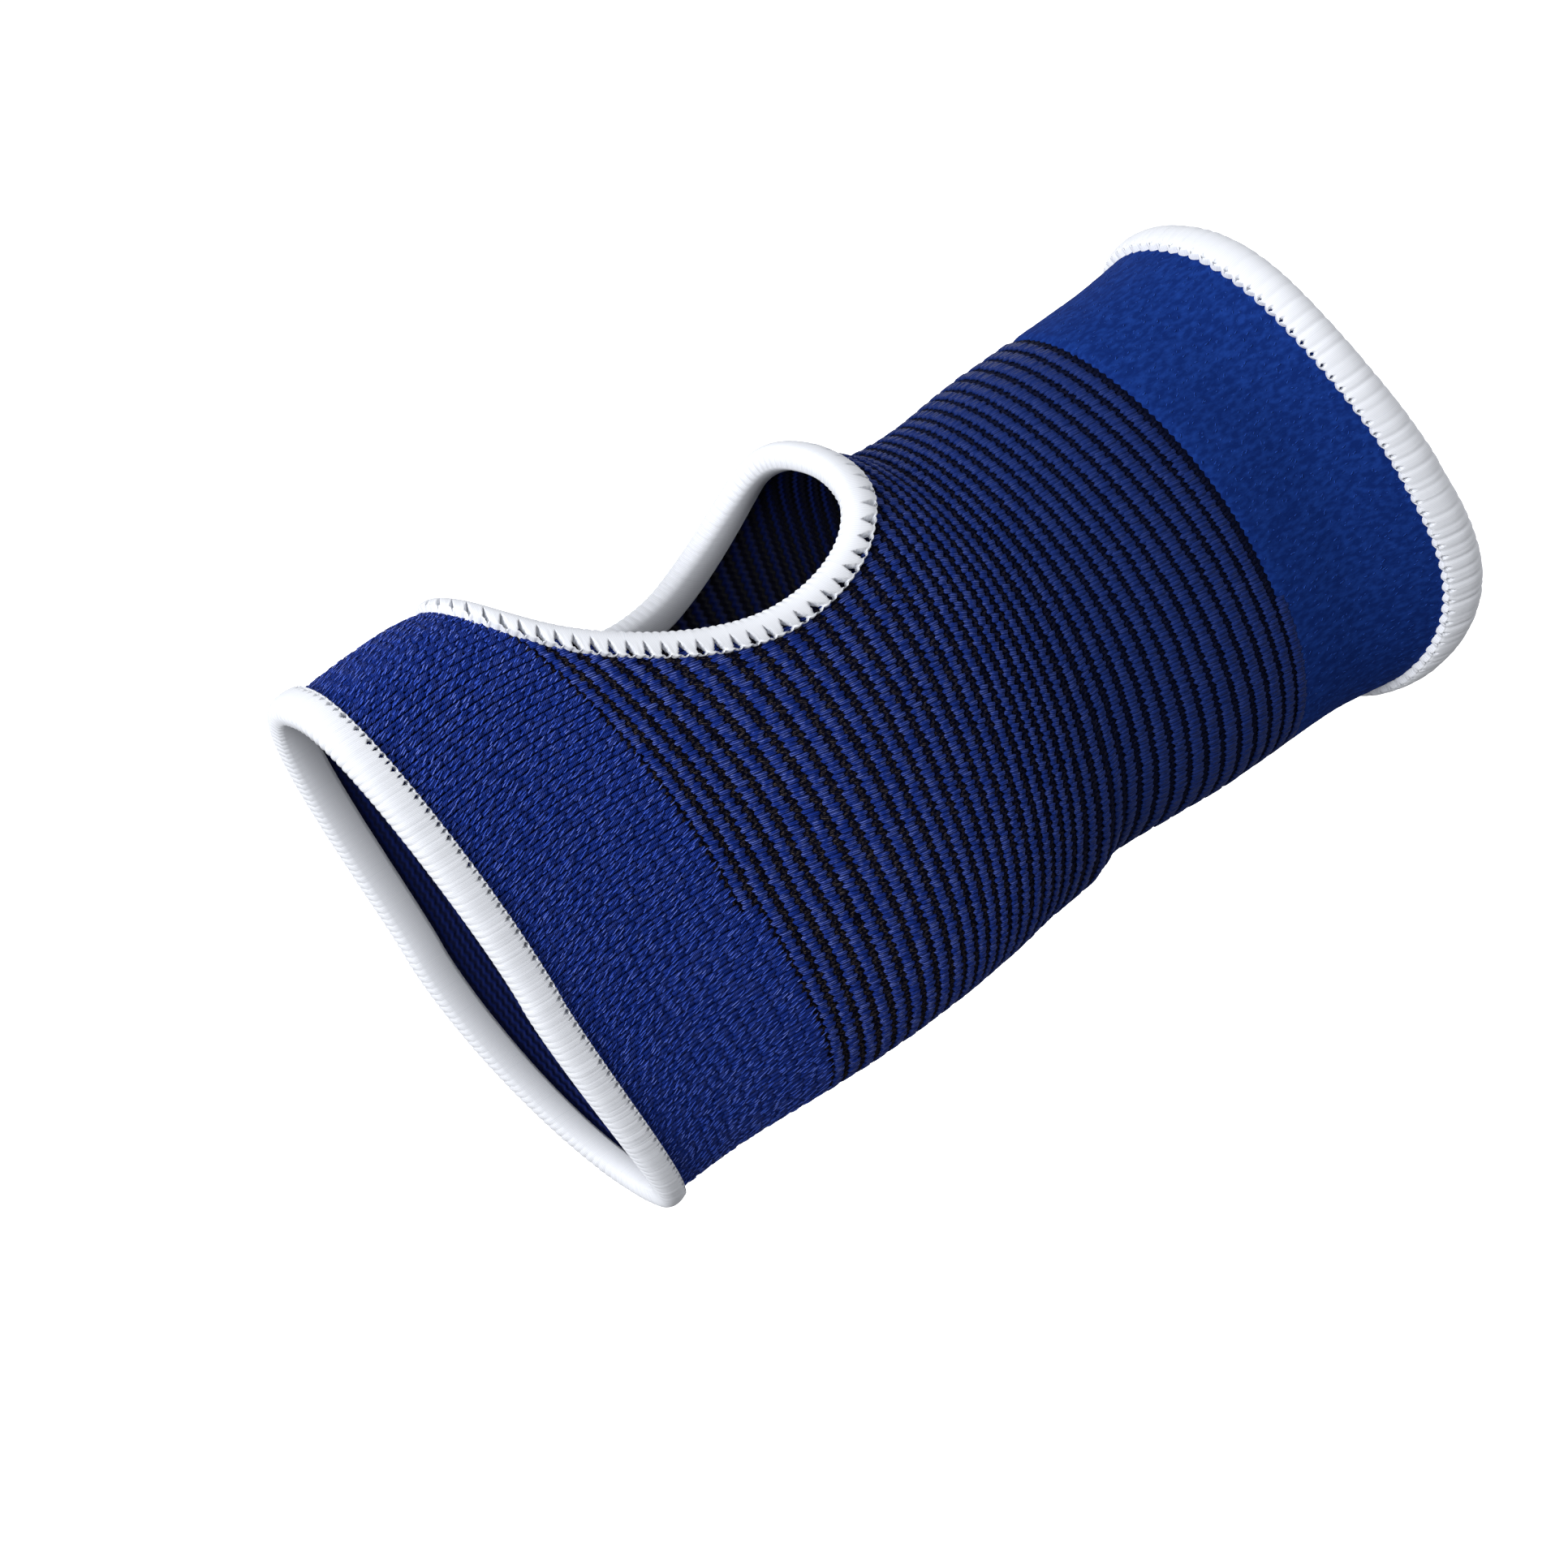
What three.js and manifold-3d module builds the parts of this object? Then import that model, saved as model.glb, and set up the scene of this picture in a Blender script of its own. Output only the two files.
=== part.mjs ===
// Elastic knitted wrist and palm support, a pull-on sleeve with a thumb hole.
// Millimetres. +X runs from the hand edge to the forearm edge, +Z is the thumb side, -Y the palm side.
// The origin is the middle of the sleeve's narrow part, its wrist seat.

import * as THREE from "three";
import Module from "manifold-3d";

const wasm = await Module();
wasm.setup();

// Driving dimensions

const WALL = 1.6;
const RIB_RELIEF = 0.45;
const RIB_COUNT = 36;

const HAND_END = -86.5;
const FOREARM_END = 56.6;

const EDGE_GAP = 0.4;
const EDGE_THREAD = 0.8;
const EDGE_NOSE = 1.2;
const EDGE_CORNER = 0.9;

// How far each edge reaches on to the cloth.
const HAND_COVER = 3.2;
const FOREARM_COVER = 4.1;
const THUMB_COVER = 2.9;

// The thumb hole, as sizes on the cloth: along the sleeve and round it, both from its middle.
const THUMB_HOLE = { x: -37.0, around: -2.0, halfLength: 22.6, halfGirth: 23.6, lean: 6.2 };

// Facets
const AROUND = 42;
const HAND_RINGS = 6;
const FOREARM_RINGS = 6;
const HOLE_STEPS = 52;
const ARC_STEPS = 240;

// Cross sections of the worn sleeve. thumb, little, palm and back reach from its axis to the outside of the
// cloth, and square is the power of the rounded outline. A course of stitches is not flat: tilt moves its
// thumb side towards the hand edge, bow moves both sides, and wave is the ripple of the forearm edge.
const SECTIONS = [
  { x: -88, thumb: 45.0, little: 40.0, palm: 14.5, back: 17.0, square: 2.4, tilt: 9.4, bow: -1.3, wave: 0.0 },
  { x: -70, thumb: 46.5, little: 39.0, palm: 15.5, back: 17.0, square: 2.4, tilt: 7.3, bow: 1.2, wave: 0.0 },
  { x: -50, thumb: 44.0, little: 39.5, palm: 18.0, back: 17.0, square: 2.4, tilt: 9.0, bow: 4.0, wave: 0.0 },
  { x: -32, thumb: 40.5, little: 38.5, palm: 22.0, back: 18.0, square: 2.3, tilt: 5.0, bow: 3.0, wave: 0.0 },
  { x: -18, thumb: 40.0, little: 37.0, palm: 23.0, back: 19.0, square: 2.3, tilt: 0.5, bow: 2.5, wave: 0.0 },
  { x: -10, thumb: 36.0, little: 36.0, palm: 22.5, back: 20.0, square: 2.2, tilt: 0.0, bow: 2.5, wave: 0.0 },
  { x: -4, thumb: 33.0, little: 35.5, palm: 21.5, back: 20.0, square: 2.2, tilt: 1.0, bow: 2.5, wave: 0.0 },
  { x: 2, thumb: 33.0, little: 33.5, palm: 21.0, back: 20.0, square: 2.1, tilt: 2.0, bow: 3.0, wave: 0.0 },
  { x: 20, thumb: 34.5, little: 34.5, palm: 22.0, back: 21.5, square: 2.1, tilt: 4.5, bow: 2.5, wave: 0.0 },
  { x: 40, thumb: 35.0, little: 34.0, palm: 21.5, back: 23.5, square: 2.2, tilt: 3.5, bow: 4.8, wave: 0.4 },
  { x: 56, thumb: 36.4, little: 34.9, palm: 26.2, back: 26.0, square: 2.2, tilt: 4.1, bow: 6.9, wave: 2.2 },
];
const SECTION_COLUMNS = Object.keys(SECTIONS[0]).filter((column) => column !== "x");
const WAVE_COUNT = 3;
const WAVE_PHASE = THREE.MathUtils.degToRad(66);

// Where the dark courses lie, the ones between are spaced evenly. They bunch up at the narrow part.
const DARK_COURSES = [
  { course: 0, x: -56.4 },
  { course: 10, x: -30.6 },
  { course: 16, x: -16.6 },
  { course: 21, x: -6.3 },
  { course: 24, x: 1.0 },
  { course: 30, x: 15.4 },
  { course: 35, x: 28.3 },
];

// Matt yarns, royal blue in the cloth and white in the overlocked edges
const knit = new THREE.MeshStandardMaterial({ color: 0x17297a, roughness: 0.9, metalness: 0 });
const yarn = new THREE.MeshStandardMaterial({ color: 0xe9ecf2, roughness: 0.85, metalness: 0 });

// Tables

// Slope of a column at one row, level at a peak or a dip, so that the curve never overshoots its rows.
function slopeAt(rows, key, column, row) {
  const chord = (i) => (rows[i + 1][column] - rows[i][column]) / (rows[i + 1][key] - rows[i][key]);
  if (row === 0) return chord(0);
  if (row === rows.length - 1) return chord(row - 1);
  const before = chord(row - 1);
  const after = chord(row);
  return before * after > 0 ? (2 * before * after) / (before + after) : 0;
}

// A column's value between the rows of a table.
function readTable(rows, key, column, at) {
  let row = 0;
  while (row < rows.length - 2 && at > rows[row + 1][key]) row += 1;
  const span = rows[row + 1][key] - rows[row][key];
  const t = THREE.MathUtils.clamp((at - rows[row][key]) / span, 0, 1);
  const rise = rows[row + 1][column] - rows[row][column];
  const start = slopeAt(rows, key, column, row) * span;
  const end = slopeAt(rows, key, column, row + 1) * span;
  const cubic = start + end - 2 * rise;
  const square = 3 * rise - 2 * start - end;
  return rows[row][column] + t * (start + t * (square + t * cubic));
}

const darkCourseX = (course) => readTable(DARK_COURSES, "course", "x", course);

// The cloth's outer surface

function sectionAt(x) {
  const section = { x };
  for (const column of SECTION_COLUMNS) section[column] = readTable(SECTIONS, "x", column, x);
  return section;
}

// A point of one section. The angle is 0 on the thumb side, a quarter turn on the palm side, half a turn on
// the little side and three quarters on the back.
function sectionPoint(section, angle) {
  const c = Math.cos(angle);
  const s = Math.sin(angle);
  const power = 2 / section.square;
  const high = (c > 0 ? section.thumb : -section.little) * Math.abs(c) ** power;
  const deep = (s > 0 ? -section.palm : section.back) * Math.abs(s) ** power;
  const ripple = section.wave * Math.sin(WAVE_COUNT * angle + WAVE_PHASE);
  return new THREE.Vector3(section.x - section.tilt * c - section.bow * c * c + ripple, deep, high);
}

// A point at a height over the outer surface, negative heights lie in the wall or inside it.
function clothPoint(x, angle, height) {
  const turn = 0.002;
  const step = 0.1;
  const along = sectionPoint(sectionAt(x + step), angle).sub(sectionPoint(sectionAt(x - step), angle));
  const section = sectionAt(x);
  const around = sectionPoint(section, angle + turn).sub(sectionPoint(section, angle - turn));
  const outward = around.cross(along).normalize();
  return sectionPoint(section, angle).addScaledVector(outward, height);
}

// The angle at a distance round the cloth from the thumb line, positive towards the palm.
function angleAtArc(x, arc) {
  const section = sectionAt(x);
  const turn = (Math.sign(arc) * Math.PI) / ARC_STEPS;
  let walked = 0;
  let here = sectionPoint(section, 0);
  for (let i = 1; i <= ARC_STEPS; i += 1) {
    const next = sectionPoint(section, turn * i);
    const stride = here.distanceTo(next);
    if (walked + stride >= Math.abs(arc)) return turn * (i - 1 + (Math.abs(arc) - walked) / stride);
    walked += stride;
    here = next;
  }
  return Math.PI;
}

// Solids from rings of points

const ringAngles = Array.from({ length: AROUND }, (_, i) => (2 * Math.PI * i) / AROUND);

// Triangles of a strip between two closed rings of equal length.
function stripFaces(first, second, length) {
  const faces = [];
  for (let i = 0; i < length; i += 1) {
    const j = (i + 1) % length;
    faces.push([first + i, first + j, second + j], [first + i, second + j, second + i]);
  }
  return faces;
}

// A manifold solid with its faces pointing out.
function solidOf(points, faces) {
  const volume = faces.reduce((sum, [a, b, c]) => sum + points[a].dot(points[b].clone().cross(points[c])), 0);
  const turned = volume < 0 ? faces.map(([a, b, c]) => [a, c, b]) : faces;
  const vertProperties = new Float32Array(points.flatMap((point) => point.toArray()));
  const triVerts = new Uint32Array(turned.flat());
  return new wasm.Manifold(new wasm.Mesh({ numProp: 3, vertProperties, triVerts }));
}

// Rings in a row whose last one joins the first, such as a tube with a wall or a hoop.
function hoopSolid(rings) {
  const length = rings[0].length;
  const faces = rings.flatMap((_, i) => stripFaces(i * length, ((i + 1) % rings.length) * length, length));
  return solidOf(rings.flat(), faces);
}

// Rings in a row, closed by a point at each end.
function plugSolid(firstPoint, rings, lastPoint) {
  const length = rings[0].length;
  const points = [...rings.flat(), firstPoint, lastPoint];
  const lastRing = (rings.length - 1) * length;
  const faces = [];
  for (let ring = 0; ring < lastRing; ring += length) faces.push(...stripFaces(ring, ring + length, length));
  for (let i = 0; i < length; i += 1) {
    const j = (i + 1) % length;
    faces.push([points.length - 2, j, i], [points.length - 1, lastRing + i, lastRing + j]);
  }
  return solidOf(points, faces);
}

function meshOf(name, solid, material) {
  const { vertProperties, triVerts } = solid.getMesh();
  const geometry = new THREE.BufferGeometry();
  geometry.setAttribute("position", new THREE.BufferAttribute(vertProperties, 3));
  geometry.setIndex(new THREE.BufferAttribute(triVerts, 1));
  geometry.computeVertexNormals();
  const mesh = new THREE.Mesh(geometry, material);
  mesh.name = name;
  return mesh;
}

// The thumb hole

// A place on the rim, as a distance along the sleeve and round it. inward goes from the rim into the hole.
function rimPlace(turn, inward) {
  const { x, around, halfLength, halfGirth, lean } = THUMB_HOLE;
  const c = Math.cos(turn);
  const s = Math.sin(turn);
  const out = new THREE.Vector2(halfGirth * c - lean * s, halfLength * s).normalize();
  return {
    x: x + halfLength * c - inward * out.x,
    arc: around + halfGirth * s + lean * c - inward * out.y,
  };
}

function rimPoint(turn, inward, height) {
  const place = rimPlace(turn, inward);
  return clothPoint(place.x, angleAtArc(place.x, place.arc), height);
}

const rimTurns = Array.from({ length: HOLE_STEPS }, (_, i) => (2 * Math.PI * i) / HOLE_STEPS);

// The cutter for the hole: its faces over and under the wall follow the cloth, its side stands square to it.
function thumbPlug() {
  const clear = 1.5;
  const shares = [0.25, 0.5, 0.75, 1];
  const middle = (height) => clothPoint(THUMB_HOLE.x, angleAtArc(THUMB_HOLE.x, THUMB_HOLE.around), height);
  const ring = (share, height) => rimTurns.map((turn) => {
    const place = rimPlace(turn, 0);
    const x = THREE.MathUtils.lerp(THUMB_HOLE.x, place.x, share);
    const arc = THREE.MathUtils.lerp(THUMB_HOLE.around, place.arc, share);
    return clothPoint(x, angleAtArc(x, arc), height);
  });
  const over = shares.map((share) => ring(share, clear));
  const under = shares.map((share) => ring(share, -WALL - clear)).reverse();
  return plugSolid(middle(clear), [...over, ...under], middle(-WALL - clear));
}

// Pieces

// Places along the outside, each with its height: the dark courses lie in grooves between the blue ribs.
function outsideStations() {
  const stations = [];
  const firstDark = darkCourseX(0);
  const lastDark = darkCourseX(RIB_COUNT - 1);
  for (let i = 0; i < HAND_RINGS; i += 1) {
    stations.push({ x: THREE.MathUtils.lerp(HAND_END, firstDark, i / HAND_RINGS), height: 0 });
  }
  for (let course = 0; course < RIB_COUNT; course += 1) {
    stations.push({ x: darkCourseX(course), height: -RIB_RELIEF });
    if (course < RIB_COUNT - 1) stations.push({ x: darkCourseX(course + 0.5), height: 0 });
  }
  const plainStart = 2 * lastDark - darkCourseX(RIB_COUNT - 1.5);
  for (let i = 0; i < FOREARM_RINGS; i += 1) {
    stations.push({ x: THREE.MathUtils.lerp(plainStart, FOREARM_END, i / (FOREARM_RINGS - 1)), height: 0 });
  }
  return stations;
}

// Places along the inside, from the forearm edge to the hand edge: at each section and halfway to the next.
function insideStations() {
  const stations = [{ x: HAND_END, height: -WALL }];
  for (let row = 0; row + 1 < SECTIONS.length; row += 1) {
    if (row > 0) stations.push({ x: SECTIONS[row].x, height: -WALL });
    stations.push({ x: (SECTIONS[row].x + SECTIONS[row + 1].x) / 2, height: -WALL });
  }
  stations.push({ x: FOREARM_END, height: -WALL });
  return stations.reverse();
}

function knitSleeve() {
  const stations = [...outsideStations(), ...insideStations()];
  const rings = stations.map(({ x, height }) => ringAngles.map((angle) => clothPoint(x, angle, height)));
  return hoopSolid(rings).subtract(thumbPlug());
}

// Section of an overlocked edge: thread on both faces of the cloth and round its cut edge. past is measured
// from the cut edge away from the cloth, height from the cloth's outer face.
function edgeSection(cover, legSteps) {
  const top = EDGE_GAP + EDGE_THREAD;
  const bottom = -WALL - top;
  const nose = EDGE_GAP + EDGE_NOSE;
  const leg = Array.from({ length: legSteps + 1 }, (_, i) => (
    THREE.MathUtils.lerp(-cover, EDGE_GAP, i / legSteps)
  ));
  return [
    { past: -cover, height: top },
    { past: nose - EDGE_CORNER, height: top },
    { past: nose, height: top - EDGE_CORNER },
    { past: nose, height: bottom + EDGE_CORNER },
    { past: nose - EDGE_CORNER, height: bottom },
    { past: -cover, height: bottom },
    ...leg.map((past) => ({ past, height: -WALL - EDGE_GAP })),
    ...leg.reverse().map((past) => ({ past, height: EDGE_GAP })),
  ];
}

// An edge round one end of the tube, past is +1 or -1 along its axis.
function endEdge(end, past, cover) {
  const rings = edgeSection(cover, 1).map((corner) => (
    ringAngles.map((angle) => clothPoint(end + past * corner.past, angle, corner.height))
  ));
  return hoopSolid(rings);
}

// The cloth curves strongly round the thumb hole, so the thread on it bends once.
function thumbEdge() {
  const rings = edgeSection(THUMB_COVER, 2).map((corner) => (
    rimTurns.map((turn) => rimPoint(turn, corner.past, corner.height))
  ));
  return hoopSolid(rings);
}

const brace = new THREE.Group();
brace.add(
  meshOf("knit_sleeve", knitSleeve(), knit),
  meshOf("hand_edge", endEdge(HAND_END, -1, HAND_COVER), yarn),
  meshOf("forearm_edge", endEdge(FOREARM_END, 1, FOREARM_COVER), yarn),
  meshOf("thumb_edge", thumbEdge(), yarn),
);

export default brace;
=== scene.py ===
"""Dresses the elastic knitted wrist and thumb sleeve: its cloth, stitches, overlocked edges and stage."""

import math
from collections import namedtuple

import bpy
import numpy as np
from bpy.props import FloatProperty, FloatVectorProperty, IntProperty, PointerProperty
from mathutils import Matrix, Vector


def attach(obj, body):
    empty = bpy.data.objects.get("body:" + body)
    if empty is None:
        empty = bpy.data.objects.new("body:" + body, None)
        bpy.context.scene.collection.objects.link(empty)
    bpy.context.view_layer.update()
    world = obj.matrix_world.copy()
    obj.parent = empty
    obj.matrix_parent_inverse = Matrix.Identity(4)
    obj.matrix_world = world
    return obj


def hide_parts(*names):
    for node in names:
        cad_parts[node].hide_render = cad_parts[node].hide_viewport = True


bl_info = {
    "name": "Knitted wrist and thumb sleeve",
    "version": (1, 0, 0),
    "blender": (4, 5, 0),
    "location": "3D View > Sidebar > Sleeve",
    "description": "Knits the cloth of a wrist sleeve, overlocks its edges and lights it on a pale floor",
    "category": "Add Mesh",
}

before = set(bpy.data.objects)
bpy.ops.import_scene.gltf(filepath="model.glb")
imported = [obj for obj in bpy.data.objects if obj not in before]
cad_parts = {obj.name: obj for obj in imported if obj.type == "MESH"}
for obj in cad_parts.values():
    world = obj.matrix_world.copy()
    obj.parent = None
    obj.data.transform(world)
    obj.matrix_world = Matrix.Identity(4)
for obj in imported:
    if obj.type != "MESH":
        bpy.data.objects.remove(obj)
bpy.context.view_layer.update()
BODY = "root"
MM = 0.001
FULL_TURN = 2 * math.pi

# The worn form, in millimetres, as the solids have it

WALL = 1.6
HAND_END = -86.5
FOREARM_END = 56.6

EDGE_GAP = 0.4
EDGE_THREAD = 0.8
HAND_COVER = 3.2
FOREARM_COVER = 4.1
THUMB_COVER = 2.9

# The thumb hole: its middle along the sleeve and round it, its half sizes on the cloth and its lean.
HOLE_X = -37.0
HOLE_AROUND = -2.0
HOLE_HALF_LENGTH = 22.6
HOLE_HALF_GIRTH = 23.6
HOLE_LEAN = 6.2

# Cross sections: x, then the reach from the axis to the thumb side, the little side, the palm side and
# the back, the power of the rounded outline, and the tilt, bow and wave of a course of stitches.
SECTIONS = np.array([
    (-88, 45.0, 40.0, 14.5, 17.0, 2.4, 9.4, -1.3, 0.0),
    (-70, 46.5, 39.0, 15.5, 17.0, 2.4, 7.3, 1.2, 0.0),
    (-50, 44.0, 39.5, 18.0, 17.0, 2.4, 9.0, 4.0, 0.0),
    (-32, 40.5, 38.5, 22.0, 18.0, 2.3, 5.0, 3.0, 0.0),
    (-18, 40.0, 37.0, 23.0, 19.0, 2.3, 0.5, 2.5, 0.0),
    (-10, 36.0, 36.0, 22.5, 20.0, 2.2, 0.0, 2.5, 0.0),
    (-4, 33.0, 35.5, 21.5, 20.0, 2.2, 1.0, 2.5, 0.0),
    (2, 33.0, 33.5, 21.0, 20.0, 2.1, 2.0, 3.0, 0.0),
    (20, 34.5, 34.5, 22.0, 21.5, 2.1, 4.5, 2.5, 0.0),
    (40, 35.0, 34.0, 21.5, 23.5, 2.2, 3.5, 4.8, 0.4),
    (56, 36.4, 34.9, 26.2, 26.0, 2.2, 4.1, 6.9, 2.2),
])
WAVE_COUNT = 3
WAVE_PHASE = math.radians(66)

# Where the courses of stitches lie: the number of a course and its x. They bunch up in the narrow part.
COURSES = np.array([
    (0, -86.5),
    (29, -56.4),
    (49, -30.6),
    (61, -16.6),
    (71, -6.3),
    (77, 1.0),
    (89, 15.4),
    (99, 28.3),
    (124, 56.6),
])
FIRST_DARK = 29
LAST_DARK = 99
LAST_COURSE = 124

# The courses are one long helix, two to a turn. Its start shows as a jog at this share of a turn from the
# thumb side, and it ends half a turn further on, at the back. In the half turns after and before the jog,
# the plain cloth at the forearm starts so many courses past the last dark one. Near the forearm the
# courses drift on the little side, by so many courses.
COURSES_PER_TURN = 2
JOG = 0.287
PLAIN_AFTER_JOG = -1.3
PLAIN_BEFORE_JOG = 0.7
LITTLE_DRIFT = 2.0
DRIFT_FIRST = 60
DRIFT_LAST = 95


def linear(hex_colour):
    """Linear red, green and blue of an sRGB colour such as 1C3A9B."""
    channels = [int(hex_colour[i:i + 2], 16) / 255 for i in (0, 2, 4)]
    return [c / 12.92 if c <= 0.04045 else ((c + 0.055) / 1.055) ** 2.4 for c in channels]


class KnitSettings(bpy.types.PropertyGroup):
    """Sizes and colours of the knitted cloth."""

    wales: IntProperty(
        name="Wales", description="Columns of stitches round the sleeve", default=148, min=40, max=300)
    blue: FloatVectorProperty(
        name="Blue yarn", description="Main colour of the cloth", subtype="COLOR", default=linear("142F84"))
    # Painted shade: the blue laid between the plies of the blue yarns. It is also the blue of the purl side
    # and the lighter grain of the painted gap shade.
    blue_shade: FloatVectorProperty(
        name="Deep blue", description="Blue yarn where it turns away",
        subtype="COLOR", default=linear("0A1A56"))
    blue_strand: FloatVectorProperty(
        name="Strand blue", description="Loose strands of the yarn",
        subtype="COLOR", default=linear("2F4CB0"))
    # Painted highlight: the light blue laid on the crests of the plies of the blue yarns.
    blue_highlight: FloatVectorProperty(
        name="Bright blue", description="Filaments that catch light",
        subtype="COLOR", default=linear("8494DC"))
    brushed: FloatVectorProperty(
        name="Brushed blue", description="Yarn of the brushed forearm end",
        subtype="COLOR", default=linear("0D2564"))
    fuzz: FloatVectorProperty(
        name="Fuzz", description="Loose fibres of the brushed end",
        subtype="COLOR", default=linear("1C3E8E"))
    worn: FloatVectorProperty(
        name="Brushed rib", description="Blue yarn where it is brushed",
        subtype="COLOR", default=linear("11245A"))
    dark: FloatVectorProperty(
        name="Dark yarn", description="Covered rubber thread", subtype="COLOR", default=linear("07081A"))
    dark_worn: FloatVectorProperty(
        name="Brushed dark", description="Dark yarn under blue fuzz",
        subtype="COLOR", default=linear("09102B"))
    # Painted highlight: the lighter brownish colour laid on the crests of the plies of the dark yarn.
    dark_highlight: FloatVectorProperty(
        name="Dark filament", description="Its lightest filaments", subtype="COLOR", default=linear("5E5550"))
    # Painted shade: a near-black sheet under the stitches stands in for the shade deep between them, and the
    # purl side lays it in the dips between its arcs.
    gap_shade: FloatVectorProperty(
        name="Ground", description="Cloth deep between the stitches",
        subtype="COLOR", default=linear("050818"))


class EdgeSettings(bpy.types.PropertyGroup):
    """Sizes and colours of the overlocked edges."""

    white: FloatVectorProperty(
        name="White thread", description="Overlock thread", subtype="COLOR", default=linear("DEE0E6"))
    # Painted shade: the grey laid between the filaments of the white overlock thread.
    white_shade: FloatVectorProperty(
        name="Thread shade", description="Between its filaments", subtype="COLOR", default=linear("CACFD8"))
    thread_width: FloatProperty(
        name="Thread width", description="Width of one overlock thread", default=0.2 * MM,
        min=0.05 * MM, max=1 * MM, unit="LENGTH", precision=5)


class StageSettings(bpy.types.PropertyGroup):
    """The floor, the lights and the camera."""

    floor_drop: FloatProperty(
        name="Floor drop", description="Floor below the middle of the sleeve", default=0.30,
        min=0.05, max=2, unit="LENGTH")
    floor_colour: FloatVectorProperty(
        name="Floor", description="Matt paper of the floor", subtype="COLOR", default=linear("FAFAFA"))
    azimuth: FloatProperty(
        name="Azimuth", description="Camera's turn round the sleeve",
        default=math.radians(-28.63), subtype="ANGLE")
    elevation: FloatProperty(
        name="Elevation", description="Camera's height angle", default=math.radians(23.64), subtype="ANGLE")
    roll: FloatProperty(
        name="Roll", description="Turn of the picture", default=math.radians(20.61), subtype="ANGLE")
    distance: FloatProperty(
        name="Distance", description="Camera to the middle of the sleeve", default=0.7,
        min=0.1, max=5, unit="LENGTH")


# The cloth

def read_table(rows, at):
    """Smooth values between the rows of a table whose first column is the key, level at a peak or a dip."""
    key = rows[:, 0]
    values = rows[:, 1:]
    chords = np.diff(values, axis=0) / np.diff(key)[:, None]
    before = chords[:-1]
    after = chords[1:]
    same_way = before * after > 0
    total = np.where(same_way, before + after, 1.0)
    slopes = np.zeros_like(values)
    slopes[0] = chords[0]
    slopes[-1] = chords[-1]
    slopes[1:-1] = np.where(same_way, 2 * before * after / total, 0.0)
    row = np.clip(np.searchsorted(key, at) - 1, 0, len(key) - 2)
    span = (key[row + 1] - key[row])[..., None]
    t = np.clip((at - key[row])[..., None] / span, 0, 1)
    rise = values[row + 1] - values[row]
    start = slopes[row] * span
    end = slopes[row + 1] * span
    return values[row] + t * (start + t * (3 * rise - 2 * start - end + t * (start + end - 2 * rise)))


def unit(vectors):
    """The vectors at length one."""
    return vectors / np.linalg.norm(vectors, axis=-1, keepdims=True)


class Cloth:
    """The outer face of the worn sleeve. A place on it is an x and a turn: 0 on the thumb side, then a
    quarter on the palm side, a half on the little side and three quarters on the back, in equal lengths."""

    FIRST_X = -98.0
    LAST_X = 66.0
    STEP = 0.25
    TURNS = 720
    ANGLES = 2880
    SHORT_OF_END = 0.001

    def __init__(self):
        self.x = np.arange(self.FIRST_X, self.LAST_X + self.STEP / 2, self.STEP)
        rows = [column[:, None] for column in read_table(SECTIONS, self.x).T]
        thumb, little, palm, back, square, tilt, bow, wave = rows
        angle = np.linspace(0, FULL_TURN, self.ANGLES + 1)[None, :]
        c = np.cos(angle)
        s = np.sin(angle)
        high = np.where(c > 0, thumb, -little) * np.abs(c) ** (2 / square)
        deep = np.where(s > 0, -palm, back) * np.abs(s) ** (2 / square)
        along = self.x[:, None] - tilt * c - bow * c * c + wave * np.sin(WAVE_COUNT * angle + WAVE_PHASE)
        outline = np.stack([along, deep, high], axis=2)
        strides = np.linalg.norm(np.diff(outline, axis=1), axis=2)
        walked = np.concatenate([np.zeros((len(self.x), 1)), np.cumsum(strides, axis=1)], axis=1)
        self.girth = walked[:, -1]
        shares = np.linspace(0, 1, self.TURNS + 1)
        self.points = np.empty((len(self.x), self.TURNS + 1, 3))
        for row, girth in enumerate(self.girth):
            for axis in range(3):
                self.points[row, :, axis] = np.interp(shares * girth, walked[row], outline[row, :, axis])
        ring = self.points[:, :-1]
        around = np.roll(ring, -1, axis=1) - np.roll(ring, 1, axis=1)
        normals = unit(np.cross(around, np.gradient(ring, axis=0)))
        self.normals = np.concatenate([normals, normals[:, :1]], axis=1)

    def girth_at(self, x):
        """Length of cloth round the sleeve."""
        return np.interp(x, self.x, self.girth)

    def at(self, x, turn, height):
        """Points at a height over the outer face, and the outward directions there."""
        x, turn, height = np.broadcast_arrays(x, turn, height)
        row = np.clip((x - self.FIRST_X) / self.STEP, 0, len(self.x) - 1 - self.SHORT_OF_END)
        column = np.mod(turn, 1.0) * self.TURNS
        i = row.astype(int)
        j = np.minimum(column.astype(int), self.TURNS - 1)
        a = (row - i)[..., None]
        b = (column - j)[..., None]

        def blend(grid):
            near = grid[i, j] * (1 - b) + grid[i, j + 1] * b
            far = grid[i + 1, j] * (1 - b) + grid[i + 1, j + 1] * b
            return near * (1 - a) + far * a

        outward = unit(blend(self.normals))
        return blend(self.points) + outward * height[..., None], outward


cloth = Cloth()


def course_x(course):
    """Where a course lies along the sleeve."""
    return read_table(COURSES, np.asarray(course, dtype=float))[..., 0]


def helix(turn):
    """How many courses the helix has climbed at a turn, against its mean."""
    return COURSES_PER_TURN * (0.5 - np.mod(turn - JOG, 1.0))


def drift(course, turn):
    """How many courses a course lies nearer the forearm than the helix alone would have it."""
    share = np.clip((course - DRIFT_FIRST) / (DRIFT_LAST - DRIFT_FIRST), 0, 1)
    return LITTLE_DRIFT * share * (1 - np.cos(FULL_TURN * turn)) / 2


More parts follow.
